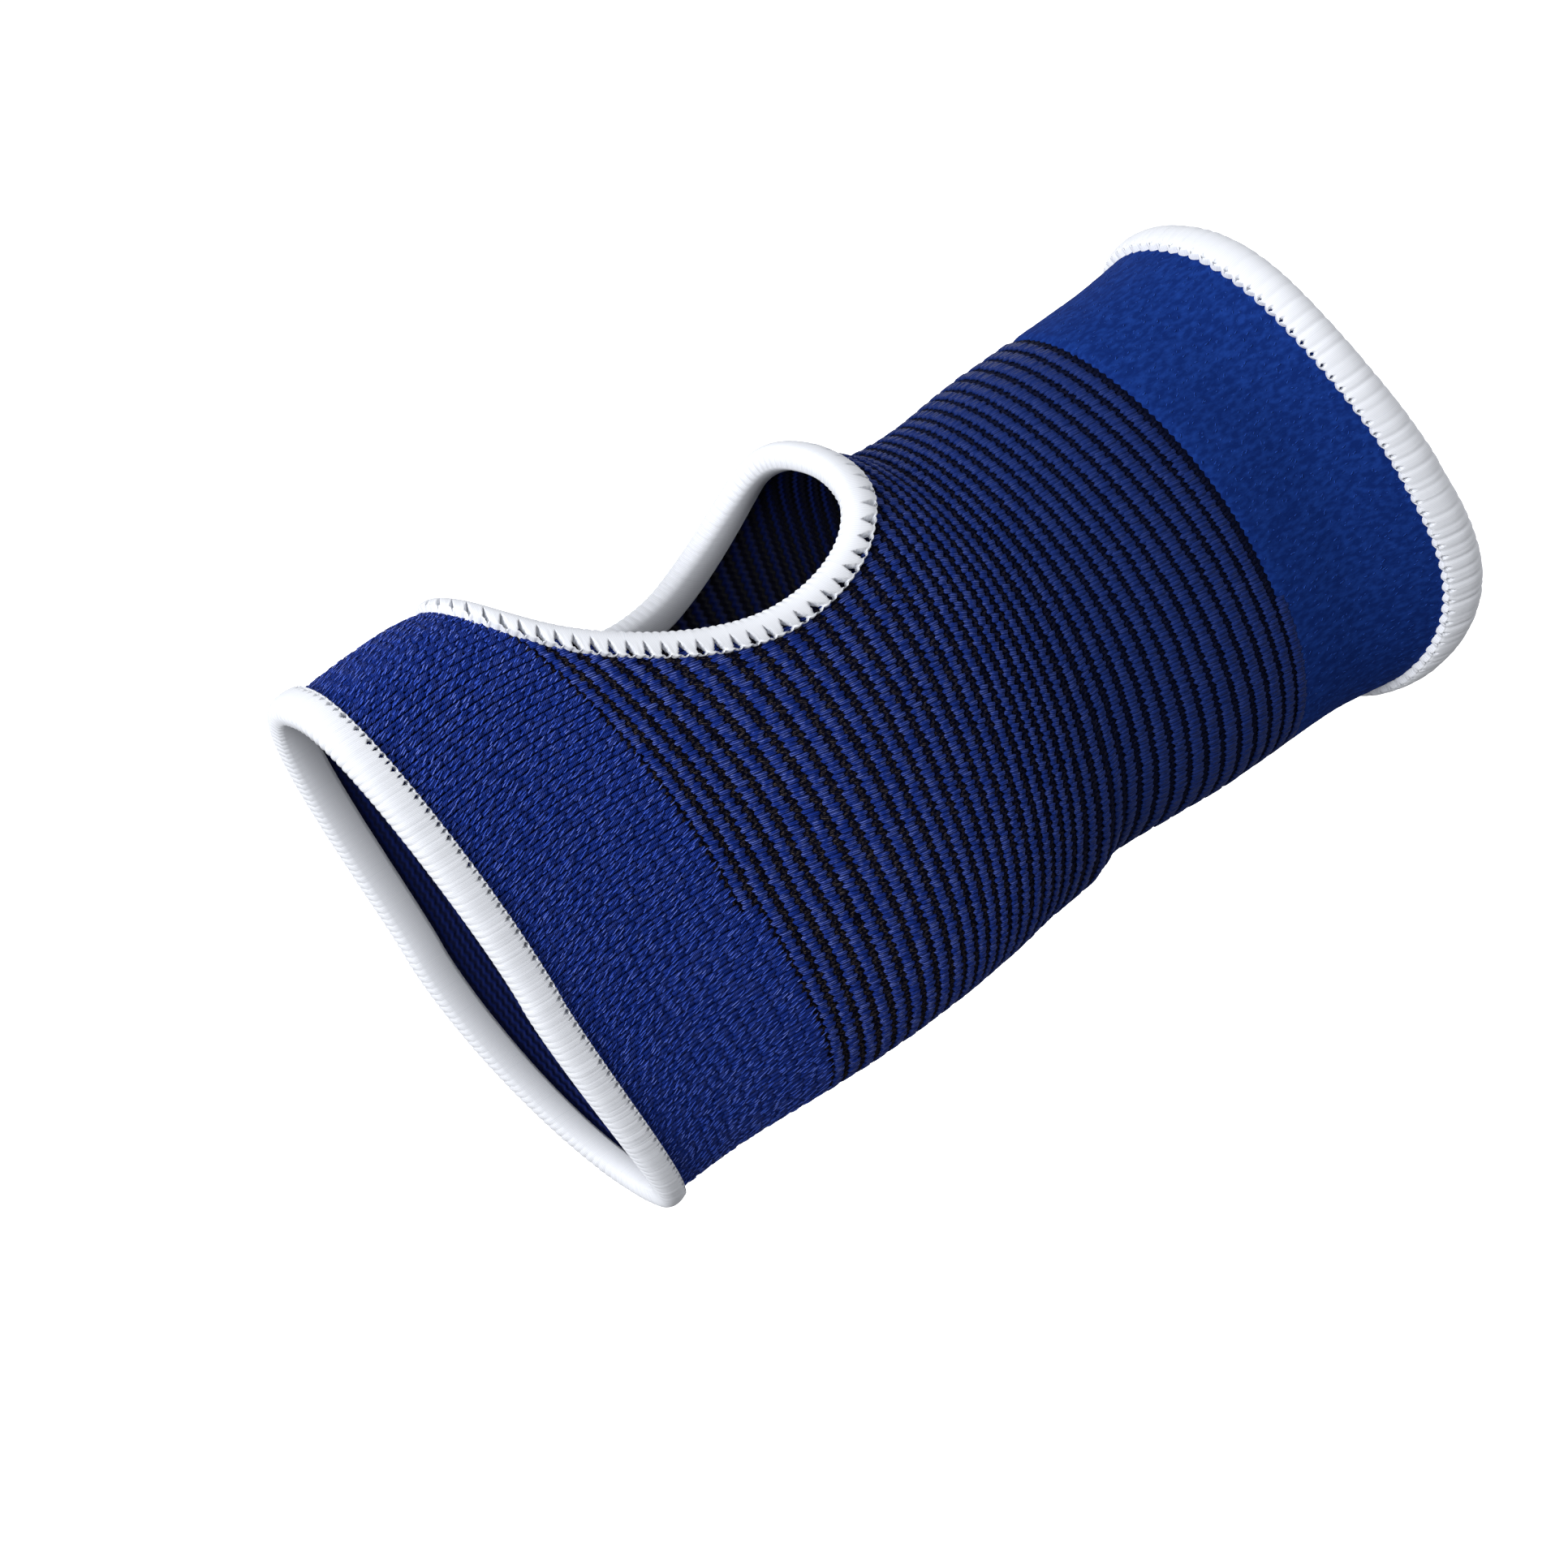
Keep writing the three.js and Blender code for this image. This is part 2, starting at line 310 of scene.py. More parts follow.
def plain_from(turn):
    """The course from which the cloth is plain at the forearm, past the last dark one."""
    after_jog = np.mod(turn - JOG, 1.0) < 0.5
    return LAST_DARK + np.where(after_jog, PLAIN_AFTER_JOG, PLAIN_BEFORE_JOG)


def hole_reach(x, turn):
    """Distance from the thumb hole's middle as a share of the rim's, 1 on the rim, with its two parts."""
    girth = cloth.girth_at(x)
    arc = (np.mod(turn + 0.5, 1.0) - 0.5) * girth
    a = (x - HOLE_X) / HOLE_HALF_LENGTH
    b = (arc - HOLE_AROUND - HOLE_LEAN * a) / HOLE_HALF_GIRTH
    return np.hypot(a, b), a, b


def hole_place(a, b):
    """The place on the cloth with these two parts of the distance from the thumb hole's middle."""
    x = HOLE_X + HOLE_HALF_LENGTH * a
    arc = HOLE_AROUND + HOLE_HALF_GIRTH * b + HOLE_LEAN * a
    return x, arc / cloth.girth_at(x)


# Meshes from arrays

# A lot of yarns. cell and strand are the shares round and along its yarn of each corner of a face, in
# strand with the twist of the plies.
Yarns = namedtuple("Yarns", "points faces cell strand count")


def yarn_tubes(centres, up, half_width, half_thick, sides, shares=None, twist=0.0):
    """Closed yarns along rows of points, flat on top. The first and last point of a row are its tips, and
    each point between has a ring of sides. shares are how far along the yarn the points are, and twist is how
    far round it the plies go from tip to tip."""
    count, steps = centres.shape[:2]
    rings = steps - 2
    if shares is None:
        shares = np.linspace(0, 1, steps)
    tangent = unit(np.gradient(centres, axis=1))
    across = unit(np.cross(tangent, up))
    over = np.cross(across, tangent)
    angle = math.pi / 2 + FULL_TURN * (np.arange(sides) - 0.5) / sides
    width = np.broadcast_to(half_width, (count, steps))[:, 1:-1, None, None]
    thick = np.broadcast_to(half_thick, (count, steps))[:, 1:-1, None, None]
    wide = across[:, 1:-1, None, :] * width * np.cos(angle)[:, None]
    tall = over[:, 1:-1, None, :] * thick * np.sin(angle)[:, None]
    ring_points = (centres[:, 1:-1, None, :] + wide + tall).reshape(count, rings * sides, 3)
    points = np.concatenate([centres[:, :1], ring_points, centres[:, -1:]], axis=1)

    last = 1 + rings * sides
    faces = []
    strand = []
    for s in range(sides):
        n = (s + 1) % sides
        left = s / sides
        right = (s + 1) / sides
        middle = (left + right) / 2
        faces.append((0, 1 + s, 1 + n))
        strand.append(((middle, 0), (left, shares[1]), (right, shares[1])))
        for r in range(rings - 1):
            here = 1 + r * sides
            there = here + sides
            low = shares[r + 1]
            high = shares[r + 2]
            faces.append((here + s, there + s, there + n))
            strand.append(((left, low), (left, high), (right, high)))
            faces.append((here + s, there + n, here + n))
            strand.append(((left, low), (right, high), (right, low)))
        end = last - sides
        faces.append((last, end + n, end + s))
        strand.append(((middle, 1), (right, shares[-2]), (left, shares[-2])))
    starts = np.arange(count)[:, None, None] * (last + 1)
    all_faces = (np.array(faces)[None] + starts).reshape(-1, 3)
    all_strand = np.broadcast_to(np.array(strand)[None], (count, len(faces), 3, 2)).reshape(-1, 3, 2)
    turned = all_strand.copy()
    turned[..., 0] += np.repeat(np.broadcast_to(twist, count), len(faces))[:, None] * all_strand[..., 1]
    return Yarns(points.reshape(-1, 3), all_faces, all_strand, turned, count)


def atlas_of(yarns, aspect):
    """Corner coordinates that give each yarn a cell of its own, aspect times as long as it is wide."""
    total = sum(yarn.count for yarn in yarns)
    columns = math.ceil(math.sqrt(total * aspect))
    rows = math.ceil(total / columns)
    margin = 0.12
    corners = []
    first = 0
    for yarn in yarns:
        cell = np.repeat(np.arange(first, first + yarn.count), len(yarn.faces) // yarn.count)
        inside = margin + yarn.cell * (1 - 2 * margin)
        corner = np.stack([cell % columns, cell // columns], axis=1)[:, None, :] + inside
        corners.append(corner / np.array([columns, rows]))
        first += yarn.count
    return np.concatenate(corners)


def closed_grid(rows, columns):
    """Quads between the points of a grid that joins up both ways, and the row and column of their corners."""
    i, j = np.meshgrid(np.arange(rows), np.arange(columns), indexing="ij")
    corners = [(i, j), (i, j + 1), (i + 1, j + 1), (i + 1, j)]
    quads = np.stack([a % rows * columns + b % columns for a, b in corners], axis=2)
    return quads, corners


def add_piece(name, points, faces, maps, materials, tint=None, face_material=None):
    """A smooth mesh in metres that rides on the sleeve, from arrays in millimetres."""
    mesh = bpy.data.meshes.new(name)
    corners = faces.ravel().astype(np.int32)
    mesh.vertices.add(len(points))
    mesh.vertices.foreach_set("co", (points * MM).astype(np.float32).ravel())
    mesh.loops.add(len(corners))
    mesh.loops.foreach_set("vertex_index", corners)
    mesh.polygons.add(len(faces))
    mesh.polygons.foreach_set("loop_start", np.arange(0, len(corners), faces.shape[1], dtype=np.int32))
    mesh.update(calc_edges=True)
    for map_name, corner in maps.items():
        layer = mesh.uv_layers.new(name=map_name)
        layer.data.foreach_set("uv", corner.astype(np.float32).ravel())
    if tint is not None:
        attribute = mesh.attributes.new("tint", "FLOAT", "POINT")
        attribute.data.foreach_set("value", tint.astype(np.float32))
    for material in materials:
        mesh.materials.append(material)
    if face_material is not None:
        mesh.polygons.foreach_set("material_index", face_material.astype(np.int32))
    mesh.shade_smooth()
    if mesh.validate():
        raise RuntimeError(f"{name}: the mesh has faults")
    piece = bpy.data.objects.new(name, mesh)
    bpy.context.scene.collection.objects.link(piece)
    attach(piece, BODY)
    return piece


def add_yarns(name, yarns, aspect, material, rng):
    """One piece from several lots of yarns, each yarn with its own tint."""
    starts = np.cumsum([0] + [len(yarn.points) for yarn in yarns[:-1]])
    faces = np.concatenate([yarn.faces + start for yarn, start in zip(yarns, starts)])
    points = np.concatenate([yarn.points for yarn in yarns])
    tint = [np.repeat(rng.random(yarn.count), len(yarn.points) // yarn.count) for yarn in yarns]
    maps = {"Strand": np.concatenate([yarn.strand for yarn in yarns]), "OFBake": atlas_of(yarns, aspect)}
    return add_piece(name, points, faces, maps, [material], tint=np.concatenate(tint))


# Materials

def add_node(tree, kind, inputs=None, **settings):
    """A node with its settings. An input is a value, or another node's socket that is linked to it."""
    node = tree.nodes.new(kind)
    for key, value in settings.items():
        setattr(node, key, value)
    for key, value in (inputs or {}).items():
        if isinstance(value, bpy.types.NodeSocket):
            tree.links.new(value, node.inputs[key])
        else:
            node.inputs[key].default_value = value
    return node


# One kind of yarn: plies round it, how narrow the painted highlights on their crests are and how much
# lighter, the size of the places where these painted highlights lie, how dull it is where it is brushed,
# roughness, gloss, and the strength and depth of its relief. Sizes are in millimetres.
Yarn = namedtuple("Yarn", "plies crest fleck grain dull roughness gloss relief depth")

BLUE_YARN = Yarn(8.0, 5.0, 0.5, 0.9, 0.85, 0.60, 0.08, 0.8, 0.10)
BASE_YARN = Yarn(8.0, 5.0, 0.15, 0.9, 0.0, 0.65, 0.06, 0.8, 0.10)
STRAND_YARN = Yarn(2.0, 2.0, 0.45, 1.5, 0.0, 0.55, 0.10, 0.2, 0.03)
FIBRE_YARN = Yarn(2.0, 2.0, 0.1, 0.9, 0.0, 0.80, 0.06, 0.2, 0.05)
DARK_YARN = Yarn(8.0, 3.0, 0.7, 0.4, 0.85, 0.80, 0.03, 0.8, 0.10)
WHITE_YARN = Yarn(24.0, 2.0, 0.2, 0.9, 0.0, 0.75, 0.15, 0.20, 0.03)

# The outside is brushed towards the forearm, more and more over this length, in millimetres.
BRUSHED_FROM = -44.0
BRUSHED_TO = 4.0

# The share of a yarn's relief that brushing leaves, and the values of a noise between which painted
# highlights come onto its plies.
BRUSHED_RELIEF = 0.1
GLINT_FROM = 0.42
GLINT_TO = 0.68

# The purl side: how far its arcs bend as a share of a course, how low it is between them, which also sets
# how light the painted shade there is, and their height in millimetres.
PURL_BEND = 0.12
PURL_LOW = 0.35
PURL_HEIGHT = 0.3

# The grain of the painted gap shade, the dabs of the brushed cloth, which are long along the sleeve, and the
# mottle of the floor: sizes in millimetres, and how strong they are.
GAP_SHADE_GRAIN = 1.2
GAP_SHADE_LIGHTER = 0.2
DAB_SIZE = 0.7
DAB_STRETCH = (0.5, 1.0, 1.0)
DAB_FROM = 0.4
DAB_TO = 0.7
DAB_LIGHTER = 0.58
DAB_HEIGHT = 0.06
MOTTLE_SIZE = 40.0
MOTTLE = 0.04
MOTTLE_SHADE = 0.96


def opaque(colour):
    """A colour with full alpha."""
    return (*colour, 1.0)


def new_material(name):
    """An empty node material and its tree."""
    material = bpy.data.materials.new(name)
    material.use_nodes = True
    material.node_tree.nodes.clear()
    return material, material.node_tree


def yarn_material(name, deep, main, highlight_colour, worn, yarn):
    """Plied yarn. Painted shade between the plies and painted highlights on their crests give fine dark and
    light lines along each stitch, brighter here and there, and an even dull colour where the cloth is
    brushed."""
    material, tree = new_material(name)
    strand = add_node(tree, "ShaderNodeUVMap", uv_map="Strand")
    parts = add_node(tree, "ShaderNodeSeparateXYZ", {"Vector": strand.outputs["UV"]})
    tint = add_node(tree, "ShaderNodeAttribute", attribute_name="tint")
    winding = add_node(
        tree, "ShaderNodeMath",
        {0: parts.outputs["X"], 1: yarn.plies, 2: tint.outputs["Fac"]}, operation="MULTIPLY_ADD")
    half_turns = add_node(tree, "ShaderNodeMath", {0: winding.outputs[0], 1: math.pi}, operation="MULTIPLY")
    wave = add_node(tree, "ShaderNodeMath", {0: half_turns.outputs[0]}, operation="SINE")
    ridge = add_node(tree, "ShaderNodeMath", {0: wave.outputs[0]}, operation="ABSOLUTE")
    # Painted shade: the deep colour between the plies, the main colour on their tops.
    body = add_node(tree, "ShaderNodeMixRGB", {0: ridge.outputs[0], 1: opaque(deep), 2: opaque(main)})
    crest = add_node(tree, "ShaderNodeMath", {0: ridge.outputs[0], 1: yarn.crest}, operation="POWER")
    place = add_node(tree, "ShaderNodeTexCoord")
    noise = add_node(
        tree, "ShaderNodeTexNoise",
        {"Vector": place.outputs["Object"], "Scale": 1 / (yarn.grain * MM), "Detail": 1.0})
    fleck = add_node(
        tree, "ShaderNodeMapRange",
        {"Value": noise.outputs["Fac"], "From Min": GLINT_FROM, "From Max": GLINT_TO,
         "To Min": 0.0, "To Max": yarn.fleck})
    # Painted highlight: the bright colour on the narrow crests of the plies, where the noise lets it through.
    light = add_node(tree, "ShaderNodeMath", {0: crest.outputs[0], 1: fleck.outputs[0]}, operation="MULTIPLY")
    highlighted = add_node(tree, "ShaderNodeMixRGB", {0: light.outputs[0], 1: body.outputs[0], 2: opaque(highlight_colour)})
    spot = add_node(tree, "ShaderNodeSeparateXYZ", {"Vector": place.outputs["Object"]})
    brushed = add_node(
        tree, "ShaderNodeMapRange",
        {"Value": spot.outputs["X"], "From Min": BRUSHED_FROM * MM, "From Max": BRUSHED_TO * MM,
         "To Min": 0.0, "To Max": yarn.dull})
    colour = add_node(
        tree, "ShaderNodeMixRGB", {0: brushed.outputs[0], 1: highlighted.outputs[0], 2: opaque(worn)})
    plain = add_node(
        tree, "ShaderNodeMapRange",
        {"Value": brushed.outputs[0], "From Max": 1.0,
         "To Min": yarn.relief, "To Max": BRUSHED_RELIEF * yarn.relief})
    relief = add_node(
        tree, "ShaderNodeBump",
        {"Strength": plain.outputs[0], "Distance": yarn.depth * MM, "Height": ridge.outputs[0]})
    shader = add_node(
        tree, "ShaderNodeBsdfPrincipled",
        {"Roughness": yarn.roughness, "Specular IOR Level": yarn.gloss, "Base Color": colour.outputs[0],
         "Normal": relief.outputs[0]})
    add_node(tree, "ShaderNodeOutputMaterial", {"Surface": shader.outputs[0]})
    return material


def purl_material(name, blue, dark, gap_shade):
    """The purl side of the cloth, seen inside: rows of small arcs with painted shade in the dips between
    them, and the dark courses as stripes.
    """
    material, tree = new_material(name)
    knit = add_node(tree, "ShaderNodeUVMap", uv_map="Knit")
    parts = add_node(tree, "ShaderNodeSeparateXYZ", {"Vector": knit.outputs["UV"]})
    wale_turn = add_node(tree, "ShaderNodeMath", {0: parts.outputs["X"], 1: FULL_TURN}, operation="MULTIPLY")
    arc = add_node(tree, "ShaderNodeMath", {0: wale_turn.outputs[0]}, operation="SINE")
    bent = add_node(
        tree, "ShaderNodeMath",
        {0: arc.outputs[0], 1: PURL_BEND, 2: parts.outputs["Y"]}, operation="MULTIPLY_ADD")
    course_turn = add_node(tree, "ShaderNodeMath", {0: bent.outputs[0], 1: FULL_TURN}, operation="MULTIPLY")
    row = add_node(tree, "ShaderNodeMath", {0: course_turn.outputs[0]}, operation="COSINE")
    height = add_node(
        tree, "ShaderNodeMapRange",
        {"Value": row.outputs[0], "From Min": -1.0, "From Max": 1.0, "To Min": PURL_LOW})
    half_turn = add_node(tree, "ShaderNodeMath", {0: bent.outputs[0], 1: math.pi}, operation="MULTIPLY")
    pair = add_node(tree, "ShaderNodeMath", {0: half_turn.outputs[0]}, operation="COSINE")
    is_dark = add_node(tree, "ShaderNodeMath", {0: pair.outputs[0], 1: 0.0}, operation="LESS_THAN")
    after = add_node(
        tree, "ShaderNodeMath", {0: parts.outputs["Y"], 1: FIRST_DARK - 0.5}, operation="GREATER_THAN")
    ahead = add_node(
        tree, "ShaderNodeMath", {0: parts.outputs["Y"], 1: LAST_DARK + 0.5}, operation="LESS_THAN")
    ribbed = add_node(
        tree, "ShaderNodeMath", {0: after.outputs[0], 1: ahead.outputs[0]}, operation="MULTIPLY")
    stripe = add_node(
        tree, "ShaderNodeMath", {0: is_dark.outputs[0], 1: ribbed.outputs[0]}, operation="MULTIPLY")
    yarn = add_node(tree, "ShaderNodeMixRGB", {0: stripe.outputs[0], 1: opaque(blue), 2: opaque(dark)})
    # Painted shade: the gap colour laid in the dips between the arcs.
    colour = add_node(tree, "ShaderNodeMixRGB", {0: height.outputs[0], 1: opaque(gap_shade), 2: yarn.outputs[0]})
    relief = add_node(
        tree, "ShaderNodeBump",
        {"Strength": 0.9, "Distance": PURL_HEIGHT * MM, "Height": height.outputs[0]})
    shader = add_node(
        tree, "ShaderNodeBsdfPrincipled",
        {"Roughness": 0.75, "Specular IOR Level": 0.12, "Base Color": colour.outputs[0],
         "Normal": relief.outputs[0]})
    add_node(tree, "ShaderNodeOutputMaterial", {"Surface": shader.outputs[0]})
    return material


def gap_shade_material(name, gap_shade, blue):
    """Painted shade deep between the stitches: a dark, matt sheet in place of that shade, a little lighter
    here and there.
    """
    material, tree = new_material(name)
    place = add_node(tree, "ShaderNodeTexCoord")
    noise = add_node(
        tree, "ShaderNodeTexNoise",
        {"Vector": place.outputs["Object"], "Scale": 1 / (GAP_SHADE_GRAIN * MM), "Detail": 2.0})
    weak = add_node(
        tree, "ShaderNodeMath", {0: noise.outputs["Fac"], 1: GAP_SHADE_LIGHTER}, operation="MULTIPLY")
    colour = add_node(tree, "ShaderNodeMixRGB", {0: weak.outputs[0], 1: opaque(gap_shade), 2: opaque(blue)})
    shader = add_node(
        tree, "ShaderNodeBsdfPrincipled",
        {"Roughness": 0.9, "Specular IOR Level": 0.05, "Base Color": colour.outputs[0]})
    add_node(tree, "ShaderNodeOutputMaterial", {"Surface": shader.outputs[0]})
    return material


def brushed_material(name, blue, fuzz):
    """Brushed polyester: soft and even, with faint short dabs where fibres lie together."""
    material, tree = new_material(name)
    place = add_node(tree, "ShaderNodeTexCoord")
    dabs = add_node(
        tree, "ShaderNodeMapping", {"Vector": place.outputs["Object"], "Scale": DAB_STRETCH})
    noise = add_node(
        tree, "ShaderNodeTexNoise",
        {"Vector": dabs.outputs[0], "Scale": 1 / (DAB_SIZE * MM), "Detail": 2.0})
    weak = add_node(
        tree, "ShaderNodeMapRange",
        {"Value": noise.outputs["Fac"], "From Min": DAB_FROM, "From Max": DAB_TO,
         "To Min": 0.0, "To Max": DAB_LIGHTER})
    colour = add_node(tree, "ShaderNodeMixRGB", {0: weak.outputs[0], 1: opaque(blue), 2: opaque(fuzz)})
    relief = add_node(
        tree, "ShaderNodeBump",
        {"Strength": 0.3, "Distance": DAB_HEIGHT * MM, "Height": noise.outputs["Fac"]})
    shader = add_node(
        tree, "ShaderNodeBsdfPrincipled",
        {"Roughness": 0.9, "Specular IOR Level": 0.03, "Base Color": colour.outputs[0],
         "Normal": relief.outputs[0]})
    add_node(tree, "ShaderNodeOutputMaterial", {"Surface": shader.outputs[0]})
    return material


def paper_material(name, colour):
    """Matt white sheet, lit a little from below, with a barely seen mottle."""
    material, tree = new_material(name)
    place = add_node(tree, "ShaderNodeTexCoord")
    noise = add_node(
        tree, "ShaderNodeTexNoise", {"Vector": place.outputs["Object"], "Scale": 1 / (MOTTLE_SIZE * MM)})
    weak = add_node(tree, "ShaderNodeMath", {0: noise.outputs["Fac"], 1: MOTTLE}, operation="MULTIPLY")
    shade = [MOTTLE_SHADE * c for c in colour]
    tone = add_node(tree, "ShaderNodeMixRGB", {0: weak.outputs[0], 1: opaque(colour), 2: opaque(shade)})
    shader = add_node(
        tree, "ShaderNodeBsdfPrincipled",
        {"Roughness": 0.95, "Base Color": tone.outputs[0], "Emission Color": opaque(colour),
         "Emission Strength": FLOOR_GLOW})
    add_node(tree, "ShaderNodeOutputMaterial", {"Surface": shader.outputs[0]})
    return material


# Stitches

# One kind of stitch. length is a share of two courses, spread and half_width are shares of a wale. slant
# is the common lean of both legs and splay their lean apart, in millimetres from end to end. height is
# the middle of the yarn over the outer face, sink how far its ends dip and half_thick half its thickness.
# stagger moves the two legs apart along the sleeve and twist is how far the plies go round.
Stitch = namedtuple("Stitch", "length spread slant splay half_width half_thick height sink stagger twist")

# A knit whose stitches change from one kind to another over a length of the sleeve. pressed is the share
# by which they are shorter in the hollow of the wrist, where the courses are pressed together.
Knit = namedtuple("Knit", "first last first_x last_x pressed")

HAND_LONG = Knit(
    Stitch(0.90, 0.22, 0.20, 0.20, 0.27, 0.27, -0.26, 0.24, 0.10, -0.50),
    Stitch(1.30, 0.22, 0.12, 0.04, 0.28, 0.28, -0.24, 0.26, 0.20, -0.80), -82.0, -68.0, 0.0)
HAND_SHORT = Knit(
    Stitch(0.85, 0.24, 0.20, 0.25, 0.26, 0.26, -0.30, 0.20, 0.0, -0.40),
    Stitch(0.80, 0.24, 0.10, 0.20, 0.24, 0.24, -0.44, 0.10, 0.0, -0.40), -82.0, -68.0, 0.0)
RIB_BLUE = Knit(
    Stitch(0.70, 0.24, -0.40, 0.02, 0.32, 0.27, -0.20, 0.18, 0.16, -0.10),
    Stitch(0.80, 0.25, -0.30, 0.02, 0.40, 0.24, -0.17, 0.12, 0.10, 0.0), -24.0, 16.0, 0.24)
RIB_DARK = Knit(
    Stitch(0.66, 0.25, 0.10, 0.50, 0.26, 0.22, -0.42, 0.08, 0.0, 0.30),
    Stitch(0.66, 0.25, 0.10, 0.40, 0.28, 0.22, -0.48, 0.06, 0.0, 0.30), -24.0, 16.0, 0.0)

# The legs of stitches: the shares along a leg at which it has points, its sides, and how long its cell in
# the atlas is against its width. Thin yarns have fewer sides.
LEG_SHARES = np.array([0.0, 0.22, 0.78, 1.0])
LEG_SIDES = 4
LEG_ASPECT = 3
THIN_SIDES = 3

# How much single stitches vary: their length as a share of it, their place, lean and height in millimetres
LENGTH_VARIES = 0.05
PLACE_VARIES = 0.05
LEAN_VARIES = 0.06
HEIGHT_VARIES = 0.03

# The hollow of the wrist, where the courses are pressed together, in millimetres
WRIST_X = -9.0
WRIST_REACH = 11.0

# How far from the cut edges stitches start, in millimetres and, at the thumb hole, as a share of its
# reach. No stitch is put where two courses are nearer than this. So many courses past the start of the
# plain cloth at the forearm, stitches are hidden in brushed cloth.
EDGE_TUCK = 2.4
HOLE_TUCK = 1.07
LEAST_PERIOD = 0.5
BRUSHED_OVER = 0.8


def stitch_places(courses, wales, brushed=False):
    """Where the stitches of some courses lie, before the brushed cloth or in it: x, turn and the length of
    two courses there."""
    course, wale = np.meshgrid(np.asarray(courses, dtype=float), np.arange(wales), indexing="ij")
    turn = (wale + 0.5) / wales
    climbed = course + helix(turn) + drift(course, turn)
    x = course_x(climbed)
    period = course_x(climbed + 1) - course_x(climbed - 1)
    on_cloth = (x > HAND_END + EDGE_TUCK) & (x < FOREARM_END - EDGE_TUCK)
    reach, _, _ = hole_reach(x, turn)
    in_zone = (course > plain_from(turn) + BRUSHED_OVER) == brushed
    keep = on_cloth & (reach > HOLE_TUCK) & (period > LEAST_PERIOD) & in_zone
    return x[keep], turn[keep], period[keep]


def stitch_legs(courses, wales, knit, rng):
    """The two legs of each stitch of some courses, as closed yarns."""
    x, turn, period = stitch_places(courses, wales)
    change = np.clip((x - knit.first_x) / (knit.last_x - knit.first_x), 0, 1)
    stitch = Stitch(*[first + (last - first) * change for first, last in zip(knit.first, knit.last)])
    shorter = 1 - knit.pressed * np.exp(-((x - WRIST_X) / WRIST_REACH) ** 2)
    girth = cloth.girth_at(x)
    wale = girth / wales
    share = LEG_SHARES[None, :]
    lots = []
    for side in (-1, 1):
        length = shorter * period * stitch.length * rng.normal(1, LENGTH_VARIES, len(x))
        shift = rng.normal(0, PLACE_VARIES, len(x))
        lean = stitch.slant + side * stitch.splay + rng.normal(0, LEAN_VARIES, len(x))
        along = (x + shift - side * stitch.stagger)[:, None] + length[:, None] * (share - 0.5)
        around = (side * stitch.spread * wale)[:, None] - lean[:, None] * (share - 0.5)
        rise = rng.normal(0, HEIGHT_VARIES, len(x))[:, None]
        height = stitch.height[:, None] + rise - stitch.sink[:, None] * (2 * share - 1) ** 2
        centres, up = cloth.at(along, turn[:, None] + around / girth[:, None], height)
        width = (stitch.half_width * wale)[:, None]
        thick = stitch.half_thick[:, None]
        lots.append(yarn_tubes(centres, up, width, thick, LEG_SIDES, LEG_SHARES, stitch.twist))
    return lots


def laid_yarns(x, turn, girth, length, way, height, bend, half_width, half_thick):
    """Thin closed yarns that lie on the cloth, their ends bent down by a quarter of bend. way is their turn
    from the sleeve's length."""
    share = (LEG_SHARES - 0.5)[None, :]
    along = x[:, None] + (length * np.cos(way))[:, None] * share
    around = -(length * np.sin(way))[:, None] * share / girth[:, None]
    centres, up = cloth.at(along, turn[:, None] + around, height[:, None] - bend * share ** 2)
    return yarn_tubes(centres, up, half_width, half_thick, THIN_SIDES)


# Loose strands that lie over the plain knit at the hand: strands to a stitch and the share of its width
# that they take up, their shortest and longest length, half width, half thickness, bend and height, in
# millimetres, their lean, and how much their places, leans and heights vary.
STRANDS = 3
STRAND_PACK = 0.85
STRAND_SHORT = 0.8
STRAND_LONG = 1.6
STRAND_HALF_WIDTH = 0.10
STRAND_HALF_THICK = 0.08
STRAND_BEND = 0.6
STRAND_HEIGHT = -0.02
STRAND_LEAN = math.radians(18)
STRAND_WANDERS = 0.05
STRAND_LEAN_VARIES = math.radians(5)
STRAND_HEIGHT_VARIES = 0.03


def loose_strands(courses, wales, rng):
    """Strands of the yarn that lie over the stitches, each a thin closed yarn."""
    lots = []
    for place in (np.arange(STRANDS) + 0.5) / STRANDS - 0.5:
        x, turn, period = stitch_places(courses, wales)
        count = len(x)
        girth = cloth.girth_at(x)
        x = x + rng.uniform(-0.5, 0.5, count) * period
        turn = turn + (STRAND_PACK * place + rng.normal(0, STRAND_WANDERS, count)) / wales
        length = rng.uniform(STRAND_SHORT, STRAND_LONG, count)
        way = STRAND_LEAN + rng.normal(0, STRAND_LEAN_VARIES, count)
        height = STRAND_HEIGHT + rng.normal(0, STRAND_HEIGHT_VARIES, count)
        lots.append(laid_yarns(
            x, turn, girth, length, way, height, STRAND_BEND, STRAND_HALF_WIDTH, STRAND_HALF_THICK))
    return lots


# The brushed cloth at the forearm: rows to a course and columns to a wale, how many courses past its line
# the notches and the teeth of its start lie, how high its ends lie over the wall, the height of its crests
# over the outer face, the depth of the dips between wales, its unevenness and how deep its hidden inner
# face lies.
BRUSHED_ROWS = 2
BRUSHED_COLUMNS = 2
NOTCH_START = 0.25
TOOTH_START = -0.05
END_OVER_WALL = 0.05
BRUSHED_HEIGHT = -0.06
BRUSHED_DIP = 0.05
BRUSHED_ROUGH = 0.012
BRUSHED_DEPTH = -0.9


